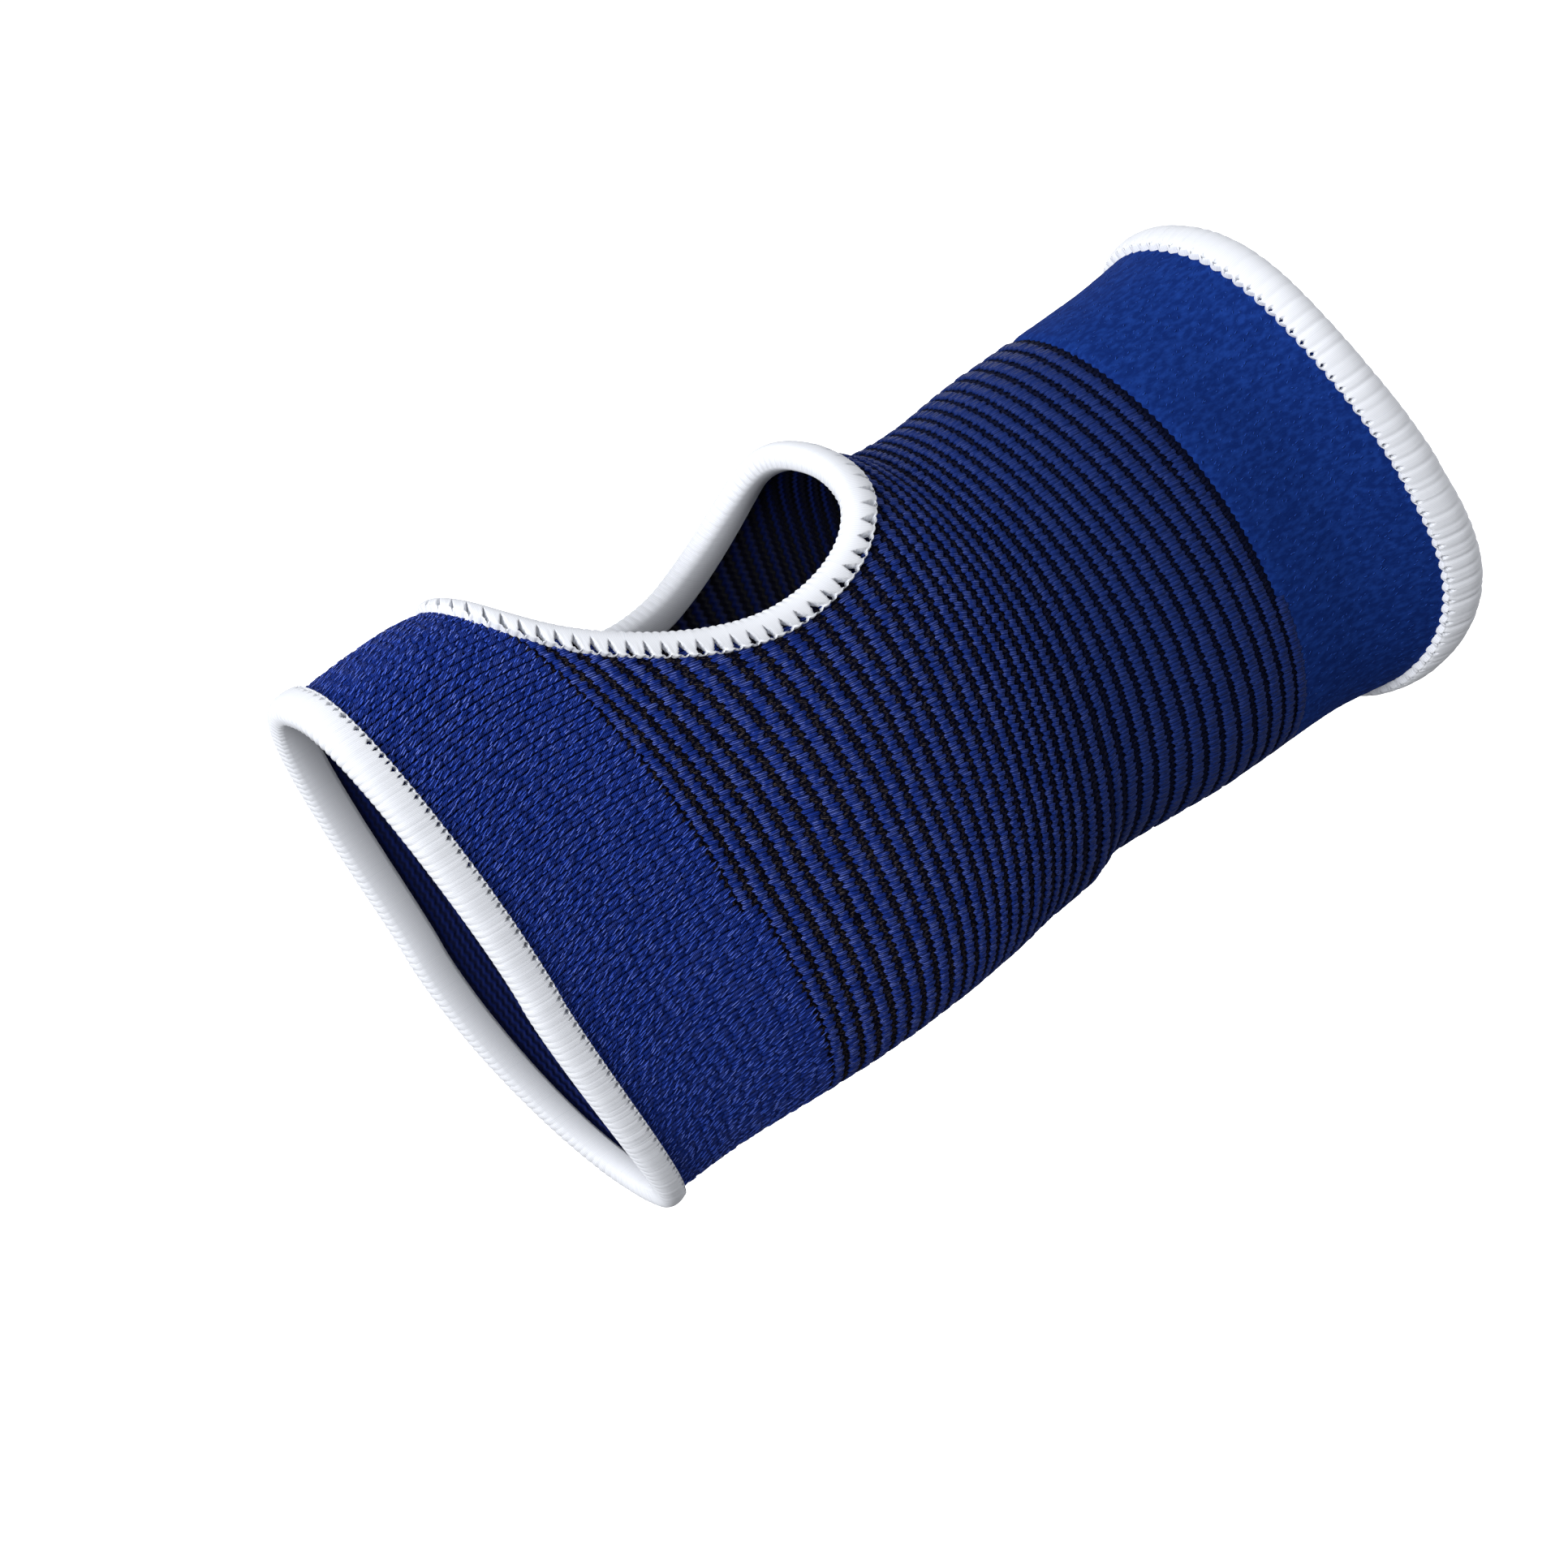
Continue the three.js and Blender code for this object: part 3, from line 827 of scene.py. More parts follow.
def brushed_cloth(wales, rng):
    """A closed sleeve of brushed cloth between the last dark course and the forearm edge: points, faces and
    atlas."""
    columns = wales * BRUSHED_COLUMNS
    rows = (LAST_COURSE - LAST_DARK) * BRUSHED_ROWS
    turn = np.arange(columns) / columns
    first = plain_from(turn)
    tooth = np.where(np.arange(columns) % BRUSHED_COLUMNS == 0, NOTCH_START, TOOTH_START)
    start = course_x(first + helix(turn) + drift(first, turn) + tooth)[None, :]
    end = FOREARM_END - EDGE_TUCK
    share = np.linspace(0, 1, rows)[:, None]
    x = start + (end - start) * share
    dip = BRUSHED_DIP * np.abs(np.sin(math.pi * wales * turn))[None, :]
    height = BRUSHED_HEIGHT - dip + rng.normal(0, BRUSHED_ROUGH, x.shape)
    height[0] = WALL_OUTSIDE + END_OVER_WALL
    height[1] = (height[0] + height[2]) / 2
    height[-1] = WALL_OUTSIDE + END_OVER_WALL
    outer, _ = cloth.at(x, turn[None, :], height)
    inner, _ = cloth.at(x[::-1], turn[None, :], np.full(x.shape, BRUSHED_DEPTH))
    points = np.concatenate([outer, inner]).reshape(-1, 3)
    faces, corners = closed_grid(2 * rows, columns)
    atlas = np.stack([np.stack([b / columns, a / (2 * rows)], axis=2) for a, b in corners], axis=2)
    return points, faces.reshape(-1, 4), atlas.reshape(-1, 2)


# Loose fibres of the brushed forearm end, one to a stitch: their length in millimetres, and its least and
# greatest share, their half width, half thickness, bend and height in millimetres, their lean, and how
# much their places, leans and heights vary.
FIBRE_LENGTH = 0.70
FIBRE_SHORT = 0.4
FIBRE_LONG = 1.3
FIBRE_HALF_WIDTH = 0.11
FIBRE_HALF_THICK = 0.04
FIBRE_BEND = 0.3
FIBRE_HEIGHT = -0.075
FIBRE_LEAN = math.radians(24)
FIBRE_WANDERS_ALONG = 0.25
FIBRE_WANDERS_ROUND = 0.3
FIBRE_LEAN_VARIES = math.radians(18)
FIBRE_HEIGHT_VARIES = 0.02


def loose_fibres(wales, rng):
    """Short fibres on the brushed cloth, each a thin closed yarn."""
    x, turn, period = stitch_places(range(LAST_DARK, LAST_COURSE), wales, brushed=True)
    count = len(x)
    x = x + rng.normal(0, FIBRE_WANDERS_ALONG, count) * period
    turn = turn + rng.normal(0, FIBRE_WANDERS_ROUND, count) / wales
    length = FIBRE_LENGTH * rng.uniform(FIBRE_SHORT, FIBRE_LONG, count)
    way = FIBRE_LEAN + rng.normal(0, FIBRE_LEAN_VARIES, count)
    height = FIBRE_HEIGHT + rng.normal(0, FIBRE_HEIGHT_VARIES, count)
    girth = cloth.girth_at(x)
    return laid_yarns(
        x, turn, girth, length, way, height, FIBRE_BEND, FIBRE_HALF_WIDTH, FIBRE_HALF_THICK)


# Overlocked edges

# One overlocked edge: the piece, the node that it stands for, how far its thread reaches on to the cloth
# and past the cut edge, how high it rolls over the cloth, and the length of one stitch. slit is the width
# of the gap between stitches, alternate the share of it at every second gap, slit_at how far from the
# outermost thread it is widest and slit_half how far it reaches from there to the nose. grooves is the
# number of grooves in a stitch, groove their depth, groove_width half their width and fade how much of
# them is lost towards the nose. slant is how far the threads run along the edge, swing how much more they
# do so at the far end of the rim than at its start, and narrow the share by which the edge is narrower at
# its start. scallop and nose_notch are how deep the notches are between the looper's links on the cloth
# and at the nose, and links and nose_links are their numbers to a stitch.
Overlock = namedtuple(
    "Overlock",
    "piece node cover nose crest pitch slit alternate slit_at slit_half grooves groove groove_width fade "
    "slant swing narrow scallop links nose_notch nose_links")

HAND_OVERLOCK = Overlock(
    piece="hand_overlock", node="hand_edge", cover=HAND_COVER, nose=1.6, crest=1.15,
    pitch=1.08, slit=0.66, alternate=0.60, slit_at=0.52, slit_half=0.46, grooves=1, groove=0.04,
    groove_width=0.13, fade=0.0, slant=0.35, swing=0.0, narrow=0.0, scallop=0.16, links=1,
    nose_notch=0.16, nose_links=1)
FOREARM_OVERLOCK = Overlock(
    piece="forearm_overlock", node="forearm_edge", cover=FOREARM_COVER, nose=2.2, crest=1.45,
    pitch=2.0, slit=0.55, alternate=1.0, slit_at=0.62, slit_half=0.42, grooves=1, groove=0.16,
    groove_width=0.34, fade=0.0, slant=0.20, swing=0.0, narrow=0.0, scallop=0.55, links=1,
    nose_notch=0.05, nose_links=1)
THUMB_OVERLOCK = Overlock(
    piece="thumb_overlock", node="thumb_edge", cover=THUMB_COVER, nose=1.6, crest=1.25,
    pitch=2.25, slit=1.40, alternate=0.85, slit_at=0.62, slit_half=1.75, grooves=4, groove=0.12,
    groove_width=0.13, fade=0.9, slant=-0.85, swing=0.6, narrow=0.25, scallop=0.42, links=2,
    nose_notch=0.36, nose_links=2)

RIM_STEPS = 720

# Steps of an edge's skin to a stitch, crowded by this share at the slits, strips of it in the atlas and
# their margin, its rows on the cloth, in millimetres from the outermost thread, and its rows from there
# to the share of the nose where the outside ends. Rows on the inside count as far from the outermost
# thread.
STITCH_STEPS = 16
STEP_CROWD = 0.6
SKIN_STRIPS = 5
SKIN_MARGIN = 0.03
ROWS_ON_CLOTH = np.array([0.0, 0.06, 0.14, 0.24, 0.36, 0.50, 0.66, 0.84, 1.05, 1.3, 1.6, 1.9, 2.25])
ROWS_TO_NOSE = 6
NOSE_TOP = 0.92
FAR = 99.0

# The roll of an edge: its height at the outermost thread, where its crest is as a share of the cover, and
# the two powers that round it. The inside is so many widths of thread thick.
ROLL_LOW = 0.40
ROLL_CREST_AT = -0.30
ROLL_POWER = 2.2
ROLL_ROUND = 0.45
INSIDE_THICK = 0.7

# How low the outermost thread lies, over what width it rounds off, the looper's ridge on it, how far in
# the notches between its links reach and how narrow they are.
BORDER_LOW = -0.15
BORDER_ROUND = 0.22
RIDGE_AT = 0.20
RIDGE_WIDTH = 0.13
RIDGE_HEIGHT = 0.12
SCALLOP_REACH = 0.7
LINK_POWER = 0.7

# The slits: how steep they are and how deep, the range of their sizes, the powers of their outline
# towards the border and the nose, and their size at the start of a rim that narrows and what is added to
# it a quarter of the way round.
SLIT_WALL = 0.05
SLIT_BOTTOM = -0.75
SLIT_SMALL = 0.75
SLIT_LARGE = 1.15
SLIT_TO_BORDER = 2.0
SLIT_TO_NOSE = 1.1
SLIT_AT_START = 0.2
SLIT_AT_QUARTER = 1.4

# How much grooves wander as a share of their spacing, the weakest of them, how far from the outermost
# thread they are full, between which shares of the cover they fade, and how much the height of the thread
# varies.
GROOVE_WANDERS = 0.12
GROOVE_WEAK = 0.3
GROOVE_FULL = 0.5
FADE_FROM = 0.6
FADE_TO = 0.1
SWELL = 0.025


class Rim:
    """A cut edge of the cloth. A place on it is a length along the rim, past is measured from the cut edge
    away from the cloth and height from the outer face."""

    def __init__(self, place):
        self.place = place
        self.shares = np.linspace(0, 1, RIM_STEPS + 1)
        points, _ = cloth.at(*place(self.shares, np.zeros(RIM_STEPS + 1)), np.zeros(RIM_STEPS + 1))
        self.walked = np.concatenate([[0], np.cumsum(np.linalg.norm(np.diff(points, axis=0), axis=1))])
        self.length = self.walked[-1]

    def at(self, along, past, height):
        """Points of the edge."""
        share = np.interp(np.mod(along, self.length), self.walked, self.shares)
        points, _ = cloth.at(*self.place(share, past), height)
        return points


def hand_place(share, past):
    """Place on the cloth at the hand opening."""
    return HAND_END - past, share


def forearm_place(share, past):
    """Place on the cloth at the forearm opening."""
    return FOREARM_END + past, share


def thumb_place(share, past):
    """Place on the cloth at the thumb hole. The way past the edge is square to the rim."""
    c = np.cos(FULL_TURN * share)
    s = np.sin(FULL_TURN * share)
    out_x = HOLE_HALF_GIRTH * c - HOLE_LEAN * s
    out_arc = HOLE_HALF_LENGTH * s
    size = np.hypot(out_x, out_arc)
    x = HOLE_X + HOLE_HALF_LENGTH * c - past * out_x / size
    arc = HOLE_AROUND + HOLE_HALF_GIRTH * s + HOLE_LEAN * c - past * out_arc / size
    return x, arc / cloth.girth_at(x)


def roll_height(past, overlock):
    """Height of the thread over the cloth's outer face: a roll, highest near the nose."""
    crest_at = ROLL_CREST_AT * overlock.cover
    on_cloth = np.clip((crest_at - past) / (overlock.cover + crest_at), 0, 1)
    on_nose = np.clip((past - crest_at) / (overlock.nose - crest_at), 0, 1)
    cloth_side = ROLL_LOW + (overlock.crest - ROLL_LOW) * (1 - on_cloth ** ROLL_POWER) ** ROLL_ROUND
    nose_side = -WALL / 2 + (overlock.crest + WALL / 2) * (1 - on_nose ** ROLL_POWER) ** ROLL_ROUND
    return np.where(past < crest_at, cloth_side, nose_side)


def skin_rows(overlock):
    """The rows of an edge's skin round the cut edge: past, height and distance from the outermost thread."""
    nose = overlock.nose
    cover = overlock.cover
    bottom = -WALL - EDGE_GAP - INSIDE_THICK * EDGE_THREAD
    on_cloth = ROWS_ON_CLOTH - cover
    outside = np.concatenate([on_cloth, np.linspace(on_cloth[-1], NOSE_TOP * nose, ROWS_TO_NOSE + 1)[1:]])
    from_border = outside + cover
    rounded = np.sqrt(1 - (1 - np.clip(from_border / BORDER_ROUND, 0, 1)) ** 2)
    ridge = RIDGE_HEIGHT * np.exp(-((from_border - RIDGE_AT) / RIDGE_WIDTH) ** 2)
    on_top = BORDER_LOW + (roll_height(outside, overlock) - BORDER_LOW) * rounded + ridge * rounded
    # The inside is plain: round the nose, flat under the cloth and up to its inner face.
    inside = np.array([
        (nose, -WALL / 2),
        (0.85 * nose, bottom + 0.55),
        (0.4 * nose, bottom + 0.15),
        (-0.2 * cover, bottom),
        (0.6 - cover, bottom),
        (0.1 - cover, bottom + 0.25),
        (-cover, -WALL),
    ])
    past = np.concatenate([outside, inside[:, 0]])
    height = np.concatenate([on_top, inside[:, 1]])
    return past, height, np.concatenate([from_border, np.full(len(inside), FAR)])


def settled(rim, overlock, along, past, outer):
    """Where thread settles on an edge: further along the rim by its slant, and nearer the cut edge where it
    is narrow."""
    at_start = np.cos(FULL_TURN * along / rim.length)
    reach = np.clip(-past / overlock.cover, 0, 1)
    slant = overlock.slant * (1 - overlock.swing * at_start) * reach * np.where(outer, 1, -1)
    narrowing = 1 - overlock.narrow * np.clip(at_start, 0, 1)
    return along + slant, np.where(past < 0, past * narrowing, past)


def satin(rim, overlock, width, rng):
    """The thread round a cut edge as one closed skin: points, faces, maps and tint. The thread is so wide."""
    stitches = 2 * round(rim.length / overlock.pitch / 2)
    pitch = rim.length / stitches
    columns = stitches * STITCH_STEPS
    column = np.arange(columns)
    stitch = column // STITCH_STEPS
    even = column % STITCH_STEPS / STITCH_STEPS
    share = even - STEP_CROWD * np.sin(FULL_TURN * even) / FULL_TURN
    along = (stitch + share) * pitch
    beside = pitch * np.minimum(share, 1 - share)
    seam = (stitch + (share > 0.5)) % stitches
    past, height, from_border = skin_rows(overlock)
    outer = from_border < FAR
    rows = len(past)

    numbers = np.arange(stitches)
    size = rng.uniform(SLIT_SMALL, SLIT_LARGE, stitches) * np.where(numbers % 2 == 0, 1, overlock.alternate)
    if overlock.narrow:
        round_rim = np.sin(FULL_TURN * numbers / stitches)
        size = size * np.clip(SLIT_AT_START + SLIT_AT_QUARTER * round_rim, 0, 1)
    over = from_border - overlock.slit_at
    half = np.where(over < 0, overlock.slit_at - RIDGE_WIDTH, overlock.slit_half)
    power = np.where(over < 0, SLIT_TO_BORDER, SLIT_TO_NOSE)
    lens = np.clip(1 - np.abs(over / half) ** power, 0, 1) * outer
    inside_slit = overlock.slit / 2 * size[seam][:, None] * lens - beside[:, None]
    slit = np.clip(inside_slit / SLIT_WALL, 0, 1)

    wander = rng.normal(0, GROOVE_WANDERS, (stitches, overlock.grooves))
    at_groove = np.arange(overlock.grooves) + 0.5 + wander
    aside = (share[:, None] - at_groove[stitch] / overlock.grooves) * pitch
    strength = rng.uniform(GROOVE_WEAK, 1.0, (stitches, overlock.grooves))[stitch]
    groove = (strength * np.exp(-(aside / overlock.groove_width) ** 2)).sum(axis=1)
    faded = np.clip((FADE_FROM + past / overlock.cover) / (FADE_FROM - FADE_TO), 0, 1)
    fade = (1 - overlock.fade * faded) * np.clip(from_border / GROOVE_FULL, 0, 1) * outer
    swell = np.interp(column, numbers * STITCH_STEPS, rng.normal(0, SWELL, stitches), period=columns)
    lifted = height + np.where(outer, swell[:, None], 0) - overlock.groove * groove[:, None] * fade
    lifted = lifted - slit * (lifted - SLIT_BOTTOM)

    link = 1 - np.abs(np.cos(math.pi * overlock.links * share)) ** LINK_POWER
    notch = overlock.scallop * link[:, None] * np.clip(1 - from_border / SCALLOP_REACH, 0, 1)
    nose_link = 1 - np.abs(np.cos(math.pi * overlock.nose_links * share)) ** LINK_POWER
    dent = overlock.nose_notch * nose_link[:, None] * np.clip(2 * past / overlock.nose - 1, 0, 1)
    settled_along, way = settled(rim, overlock, along[:, None], past + notch - dent, outer)
    points = rim.at(settled_along, way, lifted).reshape(-1, 3)

    faces, corners = closed_grid(columns, rows)
    threads = np.append(along, rim.length) / (width * WHITE_YARN.plies)
    strand = np.stack([np.stack([threads[a], b / rows], axis=2) for a, b in corners], axis=2)
    strip = columns // SKIN_STRIPS + 1
    row = corners[0][0] // strip
    used = 1 - 2 * SKIN_MARGIN
    atlas = np.stack([
        np.stack([(a - row * strip) / strip, (row + SKIN_MARGIN + used * b / rows) / SKIN_STRIPS], axis=2)
        for a, b in corners], axis=2)
    maps = {"Strand": strand.reshape(-1, 2), "OFBake": atlas.reshape(-1, 2)}
    ends = rng.random((stitches, 2))[stitch]
    tint = ends[:, :1] + (ends[:, 1:] - ends[:, :1]) * np.arange(rows) / rows
    return points, faces.reshape(-1, 4), maps, tint.ravel()


# Starts of the random draws of each group of pieces
PLAIN_SEED = 11
RIB_SEED = 23
EDGE_SEED = 37
BRUSHED_SEED = 53


class AddPlainKnit(bpy.types.Operator):
    """Knit the plain blue cloth at the hand end"""

    bl_idname = "mesh.sleeve_plain_knit"
    bl_label = "Plain knit"
    bl_options = {"REGISTER", "UNDO"}

    def execute(self, context):
        knit = context.scene.sleeve_knit
        rng = np.random.default_rng(PLAIN_SEED)
        long_courses = range(2, FIRST_DARK, 2)
        short_courses = range(1, FIRST_DARK, 2)
        hand = stitch_legs(long_courses, knit.wales, HAND_LONG, rng)
        hand += stitch_legs(short_courses, knit.wales, HAND_SHORT, rng)
        # The base yarn has painted shade between its plies and a few painted highlights on them.
        base = yarn_material(
            "polyester_base_blue", knit.blue_shade, knit.blue, knit.blue_highlight, knit.worn, BASE_YARN)
        add_yarns("hand_knit", hand, LEG_ASPECT, base, rng)
        # The loose strands have painted highlights on their plies.
        loose = yarn_material(
            "polyester_strand_blue", knit.blue_strand, knit.blue_strand, knit.blue_highlight, knit.worn,
            STRAND_YARN)
        strands = loose_strands(long_courses, knit.wales, rng)
        add_yarns("hand_strands", strands, LEG_ASPECT, loose, rng)
        return {"FINISHED"}


class AddBrushedCloth(bpy.types.Operator):
    """Make the smooth brushed cloth at the forearm end, with its short fibres"""

    bl_idname = "mesh.sleeve_brushed_cloth"
    bl_label = "Brushed cloth"
    bl_options = {"REGISTER", "UNDO"}

    def execute(self, context):
        knit = context.scene.sleeve_knit
        rng = np.random.default_rng(BRUSHED_SEED)
        points, faces, atlas = brushed_cloth(knit.wales, rng)
        brushed = brushed_material("brushed_polyester_blue", knit.brushed, knit.fuzz)
        add_piece("forearm_cloth", points, faces, {"OFBake": atlas}, [brushed])
        fibre = yarn_material("polyester_fibre_blue", knit.fuzz, knit.fuzz, knit.fuzz, knit.fuzz, FIBRE_YARN)
        add_yarns("forearm_fuzz", [loose_fibres(knit.wales, rng)], LEG_ASPECT, fibre, rng)
        return {"FINISHED"}


def blue_yarn(knit):
    """Textured polyester yarn, dyed royal blue: soft, slightly silky, with painted highlights on its plies
    and painted shade between them.
    """
    name = "textured_polyester_blue"
    if name in bpy.data.materials:
        return bpy.data.materials[name]
    return yarn_material(name, knit.blue_shade, knit.blue, knit.blue_highlight, knit.worn, BLUE_YARN)


class AddRibbedKnit(bpy.types.Operator):
    """Knit the ribbed middle: blue courses that stand proud, dark courses between them"""

    bl_idname = "mesh.sleeve_ribbed_knit"
    bl_label = "Ribbed knit"
    bl_options = {"REGISTER", "UNDO"}

    def execute(self, context):
        knit = context.scene.sleeve_knit
        rng = np.random.default_rng(RIB_SEED)
        blue_courses = range(FIRST_DARK + 1, LAST_DARK, 2)
        dark_courses = range(FIRST_DARK, LAST_DARK + 1, 2)
        add_yarns("rib_knit", stitch_legs(blue_courses, knit.wales, RIB_BLUE, rng), LEG_ASPECT,
                  blue_yarn(knit), rng)
        # The dark yarn has painted highlights in a lighter brownish colour on its plies.
        rubber = yarn_material(
            "covered_rubber_black", knit.dark, knit.dark, knit.dark_highlight, knit.dark_worn, DARK_YARN)
        add_yarns("dark_knit", stitch_legs(dark_courses, knit.wales, RIB_DARK, rng), LEG_ASPECT,
                  rubber, rng)
        return {"FINISHED"}


class AddOverlock(bpy.types.Operator):
    """Wrap the three cut edges in white overlock thread"""

    bl_idname = "mesh.sleeve_overlock"
    bl_label = "Overlocked edges"
    bl_options = {"REGISTER", "UNDO"}

    def execute(self, context):
        edge = context.scene.sleeve_edge
        # The white thread has painted shade between its filaments.
        white = yarn_material(
            "spun_polyester_white", edge.white_shade, edge.white, edge.white, edge.white, WHITE_YARN)
        rng = np.random.default_rng(EDGE_SEED)
        places = [
            (HAND_OVERLOCK, hand_place),
            (FOREARM_OVERLOCK, forearm_place),
            (THUMB_OVERLOCK, thumb_place),
        ]
        for overlock, place in places:
            points, faces, maps, tint = satin(Rim(place), overlock, edge.thread_width / MM, rng)
            piece = add_piece(overlock.piece, points, faces, maps, [white], tint=tint)
            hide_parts(overlock.node)
        return {"FINISHED"}


# The wall under the stitches: its rings of points, wales to a strip of it, its outer side from the outer
# face in millimetres, and its margin in the atlas
WALL_STATIONS = 74
WALES_PER_STRIP = 2
WALL_OUTSIDE = -0.5
WALL_MARGIN = 0.02


class AddSleeveWall(bpy.types.Operator):
    """Make the wall of the sleeve under the stitches, with its purl side inside"""

    bl_idname = "mesh.sleeve_wall"
    bl_label = "Sleeve wall"
    bl_options = {"REGISTER", "UNDO"}

    def execute(self, context):
        knit = context.scene.sleeve_knit
        around = knit.wales // WALES_PER_STRIP
        x, turn = np.meshgrid(
            np.linspace(HAND_END, FOREARM_END, WALL_STATIONS), np.arange(around) / around, indexing="ij")
        quads = closed_grid(WALL_STATIONS, around)[0][:-1]
        middle_x = (x[:-1] + x[1:]) / 2
        reach, _, _ = hole_reach(middle_x, turn[:-1] + 0.5 / around)
        kept = quads[reach > 1].reshape(-1, 4)
        cut = quads[reach <= 1].reshape(-1, 4)
        rim = np.intersect1d(kept, cut)
        flat_x = x.ravel().copy()
        flat_turn = turn.ravel().copy()
        reach, a, b = hole_reach(flat_x[rim], flat_turn[rim])
        flat_x[rim], flat_turn[rim] = hole_place(a / reach, b / reach)
        outer, _ = cloth.at(flat_x, flat_turn, np.full(len(flat_x), WALL_OUTSIDE))
        inner, _ = cloth.at(flat_x, flat_turn, np.full(len(flat_x), -WALL))
        size = len(flat_x)
        edges = np.concatenate([kept[:, [k, (k + 1) % 4]] for k in range(4)])
        codes = edges[:, 0] * size + edges[:, 1]
        back_codes = edges[:, 1] * size + edges[:, 0]
        free = edges[~np.isin(codes, back_codes)]
        sides = np.stack([free[:, 1], free[:, 0], free[:, 0] + size, free[:, 1] + size], axis=1)
        faces = np.concatenate([kept, kept[:, ::-1] + size, sides])
        is_inside = np.concatenate([np.zeros(len(kept)), np.ones(len(kept)), np.ones(len(sides))])
        corner_x = np.concatenate([flat_x, flat_x])[faces]
        corner_turn = np.concatenate([flat_turn, flat_turn])[faces] % 1.0
        wraps_round = (corner_turn.max(axis=1) - corner_turn.min(axis=1) > 0.5)[:, None]
        corner_turn = np.where(wraps_round & (corner_turn < 0.5), corner_turn + 1, corner_turn)
        course = np.interp(corner_x, course_x(np.arange(LAST_COURSE + 1)), np.arange(LAST_COURSE + 1))
        knit_map = np.stack([corner_turn * knit.wales, course - helix(corner_turn % 1.0)], axis=2)
        length_share = (corner_x - HAND_END) / (FOREARM_END - HAND_END)
        half = (is_inside[:, None] + WALL_MARGIN + (1 - 2 * WALL_MARGIN) * length_share) / 2
        atlas = np.stack([corner_turn / (1 + 1 / around), half], axis=2)
        used, faces = np.unique(faces, return_inverse=True)
        points = np.concatenate([outer, inner])[used]
        wall = add_piece(
            "sleeve_wall", points, faces.reshape(-1, 4), {"Knit": knit_map, "OFBake": atlas},
            # The outer side is the painted gap shade, a near-black sheet for the shade between the stitches;
            # the inside is the purl side in the painted-shade blue.
            [gap_shade_material("knit_gap_shade", knit.gap_shade, knit.blue_shade),
             purl_material("purl_side_knit", knit.blue_shade, knit.dark, knit.gap_shade)],
            face_material=is_inside)
        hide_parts("knit_sleeve")
        on_wall = ["hand_knit", "hand_strands", "forearm_cloth", "forearm_fuzz", "rib_knit", "dark_knit"]
        on_wall += [overlock.piece for overlock in (HAND_OVERLOCK, FOREARM_OVERLOCK, THUMB_OVERLOCK)]
        return {"FINISHED"}


# The stage

# The camera: the picture's side, the focal length and the place of the origin in the picture, in pixels,
# and the sensor in millimetres
FRAME_PIXELS = 1932
FOCAL_PIXELS = 6510.0
ORIGIN_PIXEL = (1230.5, 795.1)
SENSOR = 36.0

# Area lights: name, place and aim in metres, width and height in metres, power in watts
LIGHTS = [
    ("key_softbox", (-1.30, -0.60, 0.75), (0.0, 0.0, 0.0), 0.8, 0.8, 28.0),
    ("top_softbox", (-0.30, 0.00, 1.40), (0.0, 0.0, 0.0), 1.4, 1.4, 8.0),
    ("back_softbox", (0.60, 1.10, 0.40), (0.0, 0.0, 0.0), 0.9, 0.9, 4.0),
    ("fill_softbox", (1.25, -0.25, -0.10), (0.0, 0.0, 0.0), 0.8, 0.3, 5.0),
]

# The room is bright above and dimmer below, and changes from so far under the level to so far over it. The
# floor glows a little, and reaches so far from the middle, in metres.
ROOM_ABOVE = 0.44
ROOM_BELOW = 0.30
ROOM_CHANGE = 0.4
FLOOR_GLOW = 0.60
FLOOR_REACH = 6.0


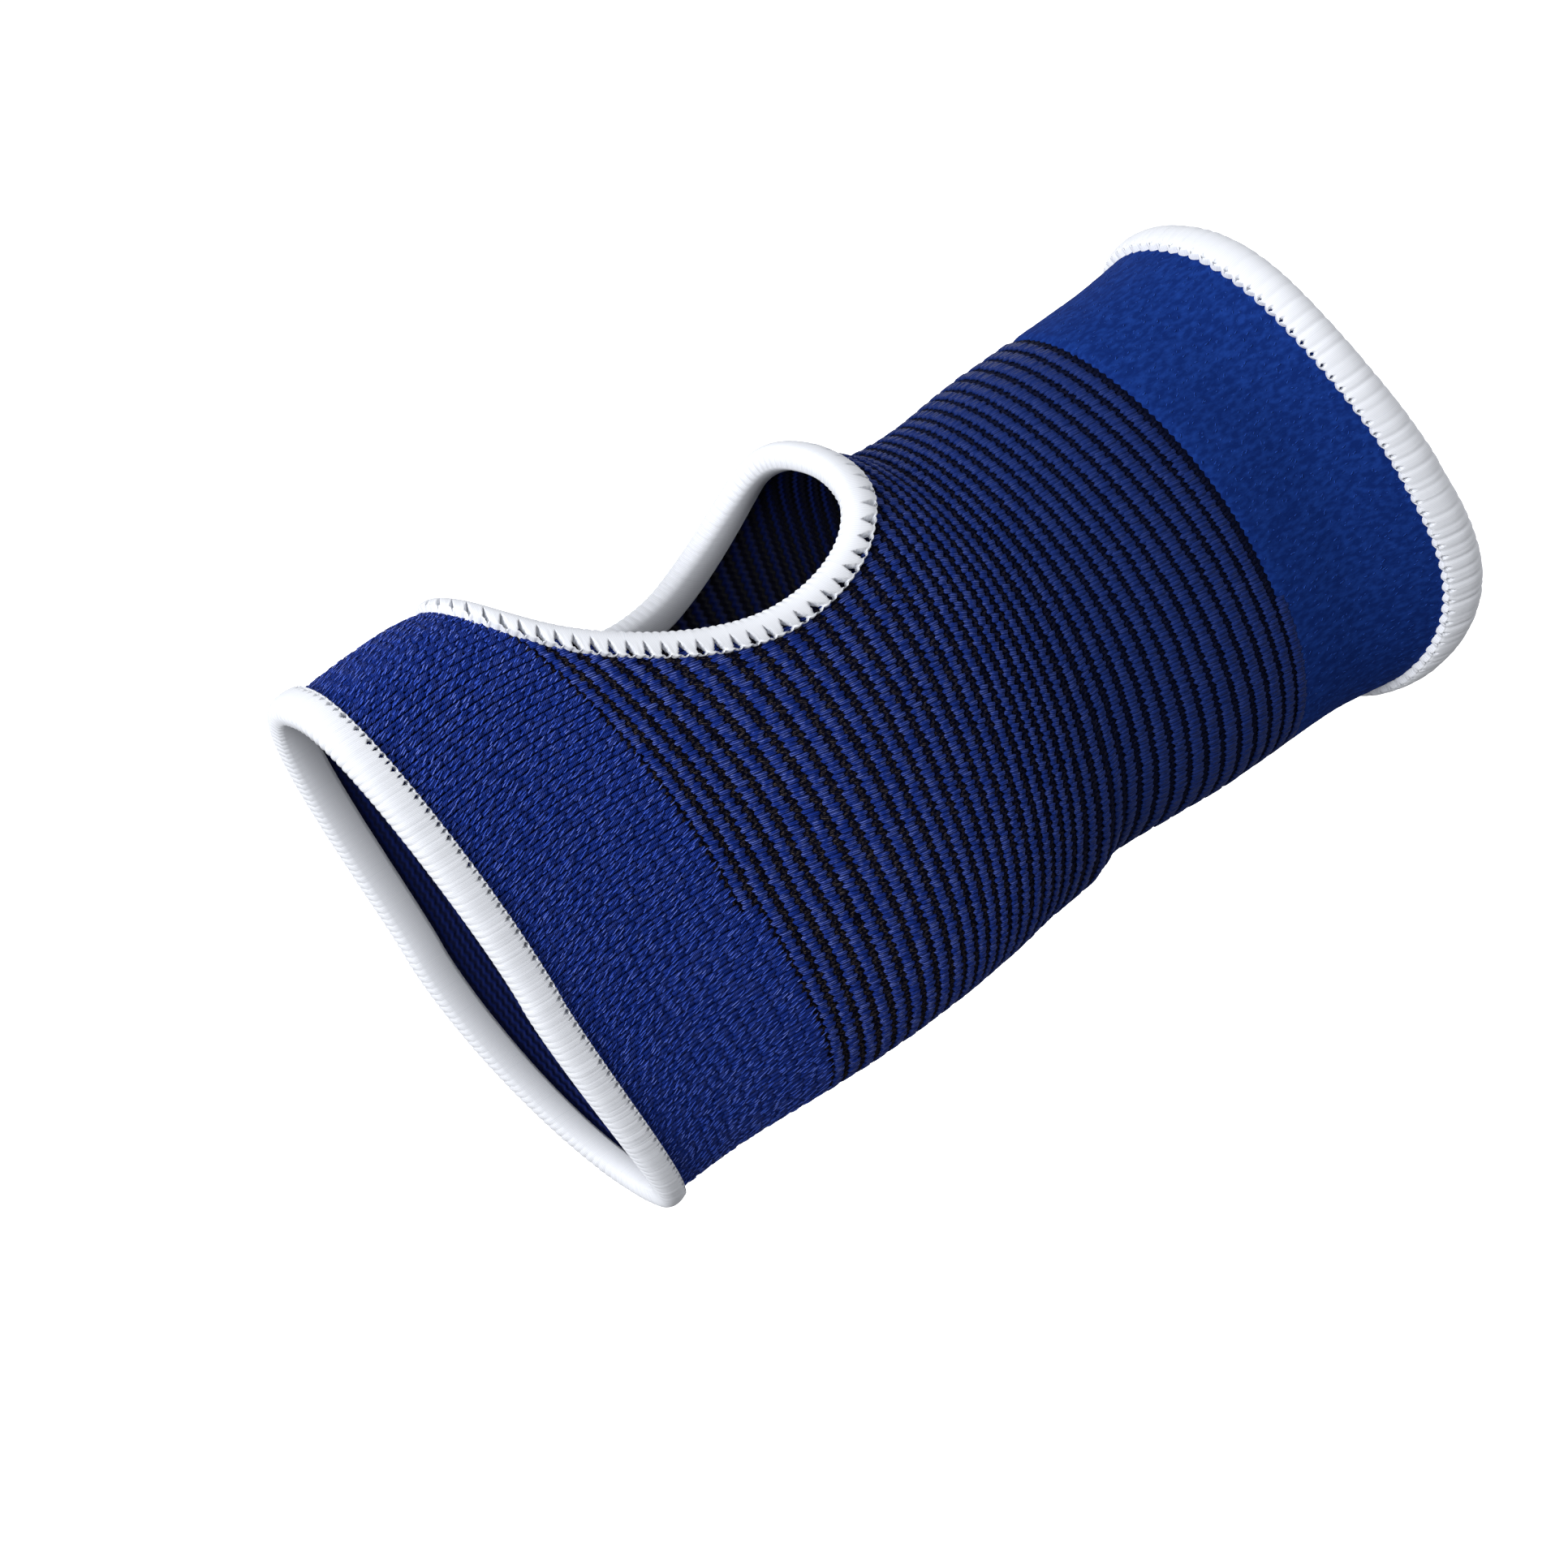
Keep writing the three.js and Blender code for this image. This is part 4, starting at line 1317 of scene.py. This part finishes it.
class SetStage(bpy.types.Operator):
    """Lay the pale floor, hang the lights and set the camera"""

    bl_idname = "scene.sleeve_stage"
    bl_label = "Stage"
    bl_options = {"REGISTER", "UNDO"}

    def execute(self, context):
        scene = context.scene
        stage = scene.sleeve_stage
        self.add_floor(scene, stage)
        self.add_lights(scene)
        self.add_camera(scene, stage)
        scene.view_settings.view_transform = "Standard"
        return {"FINISHED"}

    def add_floor(self, scene, stage):
        mesh = bpy.data.meshes.new("floor")
        corners = [(x * FLOOR_REACH, y * FLOOR_REACH, -stage.floor_drop)
                   for x, y in ((-1, -1), (1, -1), (1, 1), (-1, 1))]
        mesh.from_pydata(corners, [], [(0, 1, 2, 3)])
        mesh.materials.append(paper_material("matt_studio_paper", stage.floor_colour))
        floor = bpy.data.objects.new("floor", mesh)
        scene.collection.objects.link(floor)
        # The floor takes light and shows it, but throws none back at the sleeve.
        floor.visible_diffuse = False
        floor.visible_glossy = False

    def add_lights(self, scene):
        for name, place, aim, width, height, power in LIGHTS:
            lamp = bpy.data.lights.new(name, "AREA")
            lamp.shape = "RECTANGLE"
            lamp.size = width
            lamp.size_y = height
            lamp.energy = power
            light = bpy.data.objects.new(name, lamp)
            light.location = place
            light.rotation_mode = "QUATERNION"
            light.rotation_quaternion = (Vector(aim) - Vector(place)).to_track_quat("-Z", "Y")
            scene.collection.objects.link(light)
        world = bpy.data.worlds.new("studio_white")
        world.use_nodes = True
        tree = world.node_tree
        tree.nodes.clear()
        way = add_node(tree, "ShaderNodeTexCoord")
        parts = add_node(tree, "ShaderNodeSeparateXYZ", {"Vector": way.outputs["Generated"]})
        strength = add_node(
            tree, "ShaderNodeMapRange",
            {"Value": parts.outputs["Z"], "From Min": -ROOM_CHANGE, "From Max": ROOM_CHANGE,
             "To Min": ROOM_BELOW, "To Max": ROOM_ABOVE})
        room = add_node(
            tree, "ShaderNodeBackground",
            {"Color": opaque(linear("FFFFFF")), "Strength": strength.outputs[0]})
        add_node(tree, "ShaderNodeOutputWorld", {"Surface": room.outputs[0]})
        scene.world = world

    def add_camera(self, scene, stage):
        ca, sa = math.cos(stage.azimuth), math.sin(stage.azimuth)
        ce, se = math.cos(stage.elevation), math.sin(stage.elevation)
        cr, sr = math.cos(stage.roll), math.sin(stage.roll)
        back = Vector((sa * ce, -ca * ce, se))
        right = Vector((ca, sa, 0))
        up = back.cross(right)
        axes = Matrix((cr * right - sr * up, sr * right + cr * up, back)).transposed()
        middle = FRAME_PIXELS / 2
        aim_right = (ORIGIN_PIXEL[0] - middle) / FOCAL_PIXELS
        aim_up = (middle - ORIGIN_PIXEL[1]) / FOCAL_PIXELS
        aim = Vector((aim_right, aim_up, -1)).normalized()
        pan = Vector((0, 0, -1)).rotation_difference(aim).to_matrix()
        lens = bpy.data.cameras.new("camera")
        lens.sensor_width = SENSOR
        lens.lens = FOCAL_PIXELS / FRAME_PIXELS * SENSOR
        camera = bpy.data.objects.new("camera", lens)
        camera.matrix_world = Matrix.Translation(back * stage.distance) @ (axes @ pan.transposed()).to_4x4()
        scene.collection.objects.link(camera)
        scene.camera = camera


class SleevePanel(bpy.types.Panel):
    """Buttons and settings of the sleeve"""

    bl_idname = "VIEW3D_PT_sleeve"
    bl_label = "Knitted sleeve"
    bl_space_type = "VIEW_3D"
    bl_region_type = "UI"
    bl_category = "Sleeve"

    def draw(self, context):
        for operator in OPERATORS:
            self.layout.operator(operator.bl_idname)
        for group in (context.scene.sleeve_knit, context.scene.sleeve_edge, context.scene.sleeve_stage):
            box = self.layout.box()
            for name in group.__annotations__:
                box.prop(group, name)


GROUPS = {"sleeve_knit": KnitSettings, "sleeve_edge": EdgeSettings, "sleeve_stage": StageSettings}
OPERATORS = [AddPlainKnit, AddRibbedKnit, AddBrushedCloth, AddOverlock, AddSleeveWall, SetStage]


def register():
    for group in GROUPS.values():
        bpy.utils.register_class(group)
    for operator in OPERATORS:
        bpy.utils.register_class(operator)
    bpy.utils.register_class(SleevePanel)
    for name, group in GROUPS.items():
        setattr(bpy.types.Scene, name, PointerProperty(type=group))


def unregister():
    for name in GROUPS:
        delattr(bpy.types.Scene, name)
    bpy.utils.unregister_class(SleevePanel)
    for operator in reversed(OPERATORS):
        bpy.utils.unregister_class(operator)
    for group in reversed(GROUPS.values()):
        bpy.utils.unregister_class(group)


def main():
    register()
    bpy.ops.mesh.sleeve_plain_knit()
    bpy.ops.mesh.sleeve_ribbed_knit()
    bpy.ops.mesh.sleeve_brushed_cloth()
    bpy.ops.mesh.sleeve_overlock()
    bpy.ops.mesh.sleeve_wall()
    bpy.ops.scene.sleeve_stage()
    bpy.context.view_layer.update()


if __name__ == "__main__":
    main()
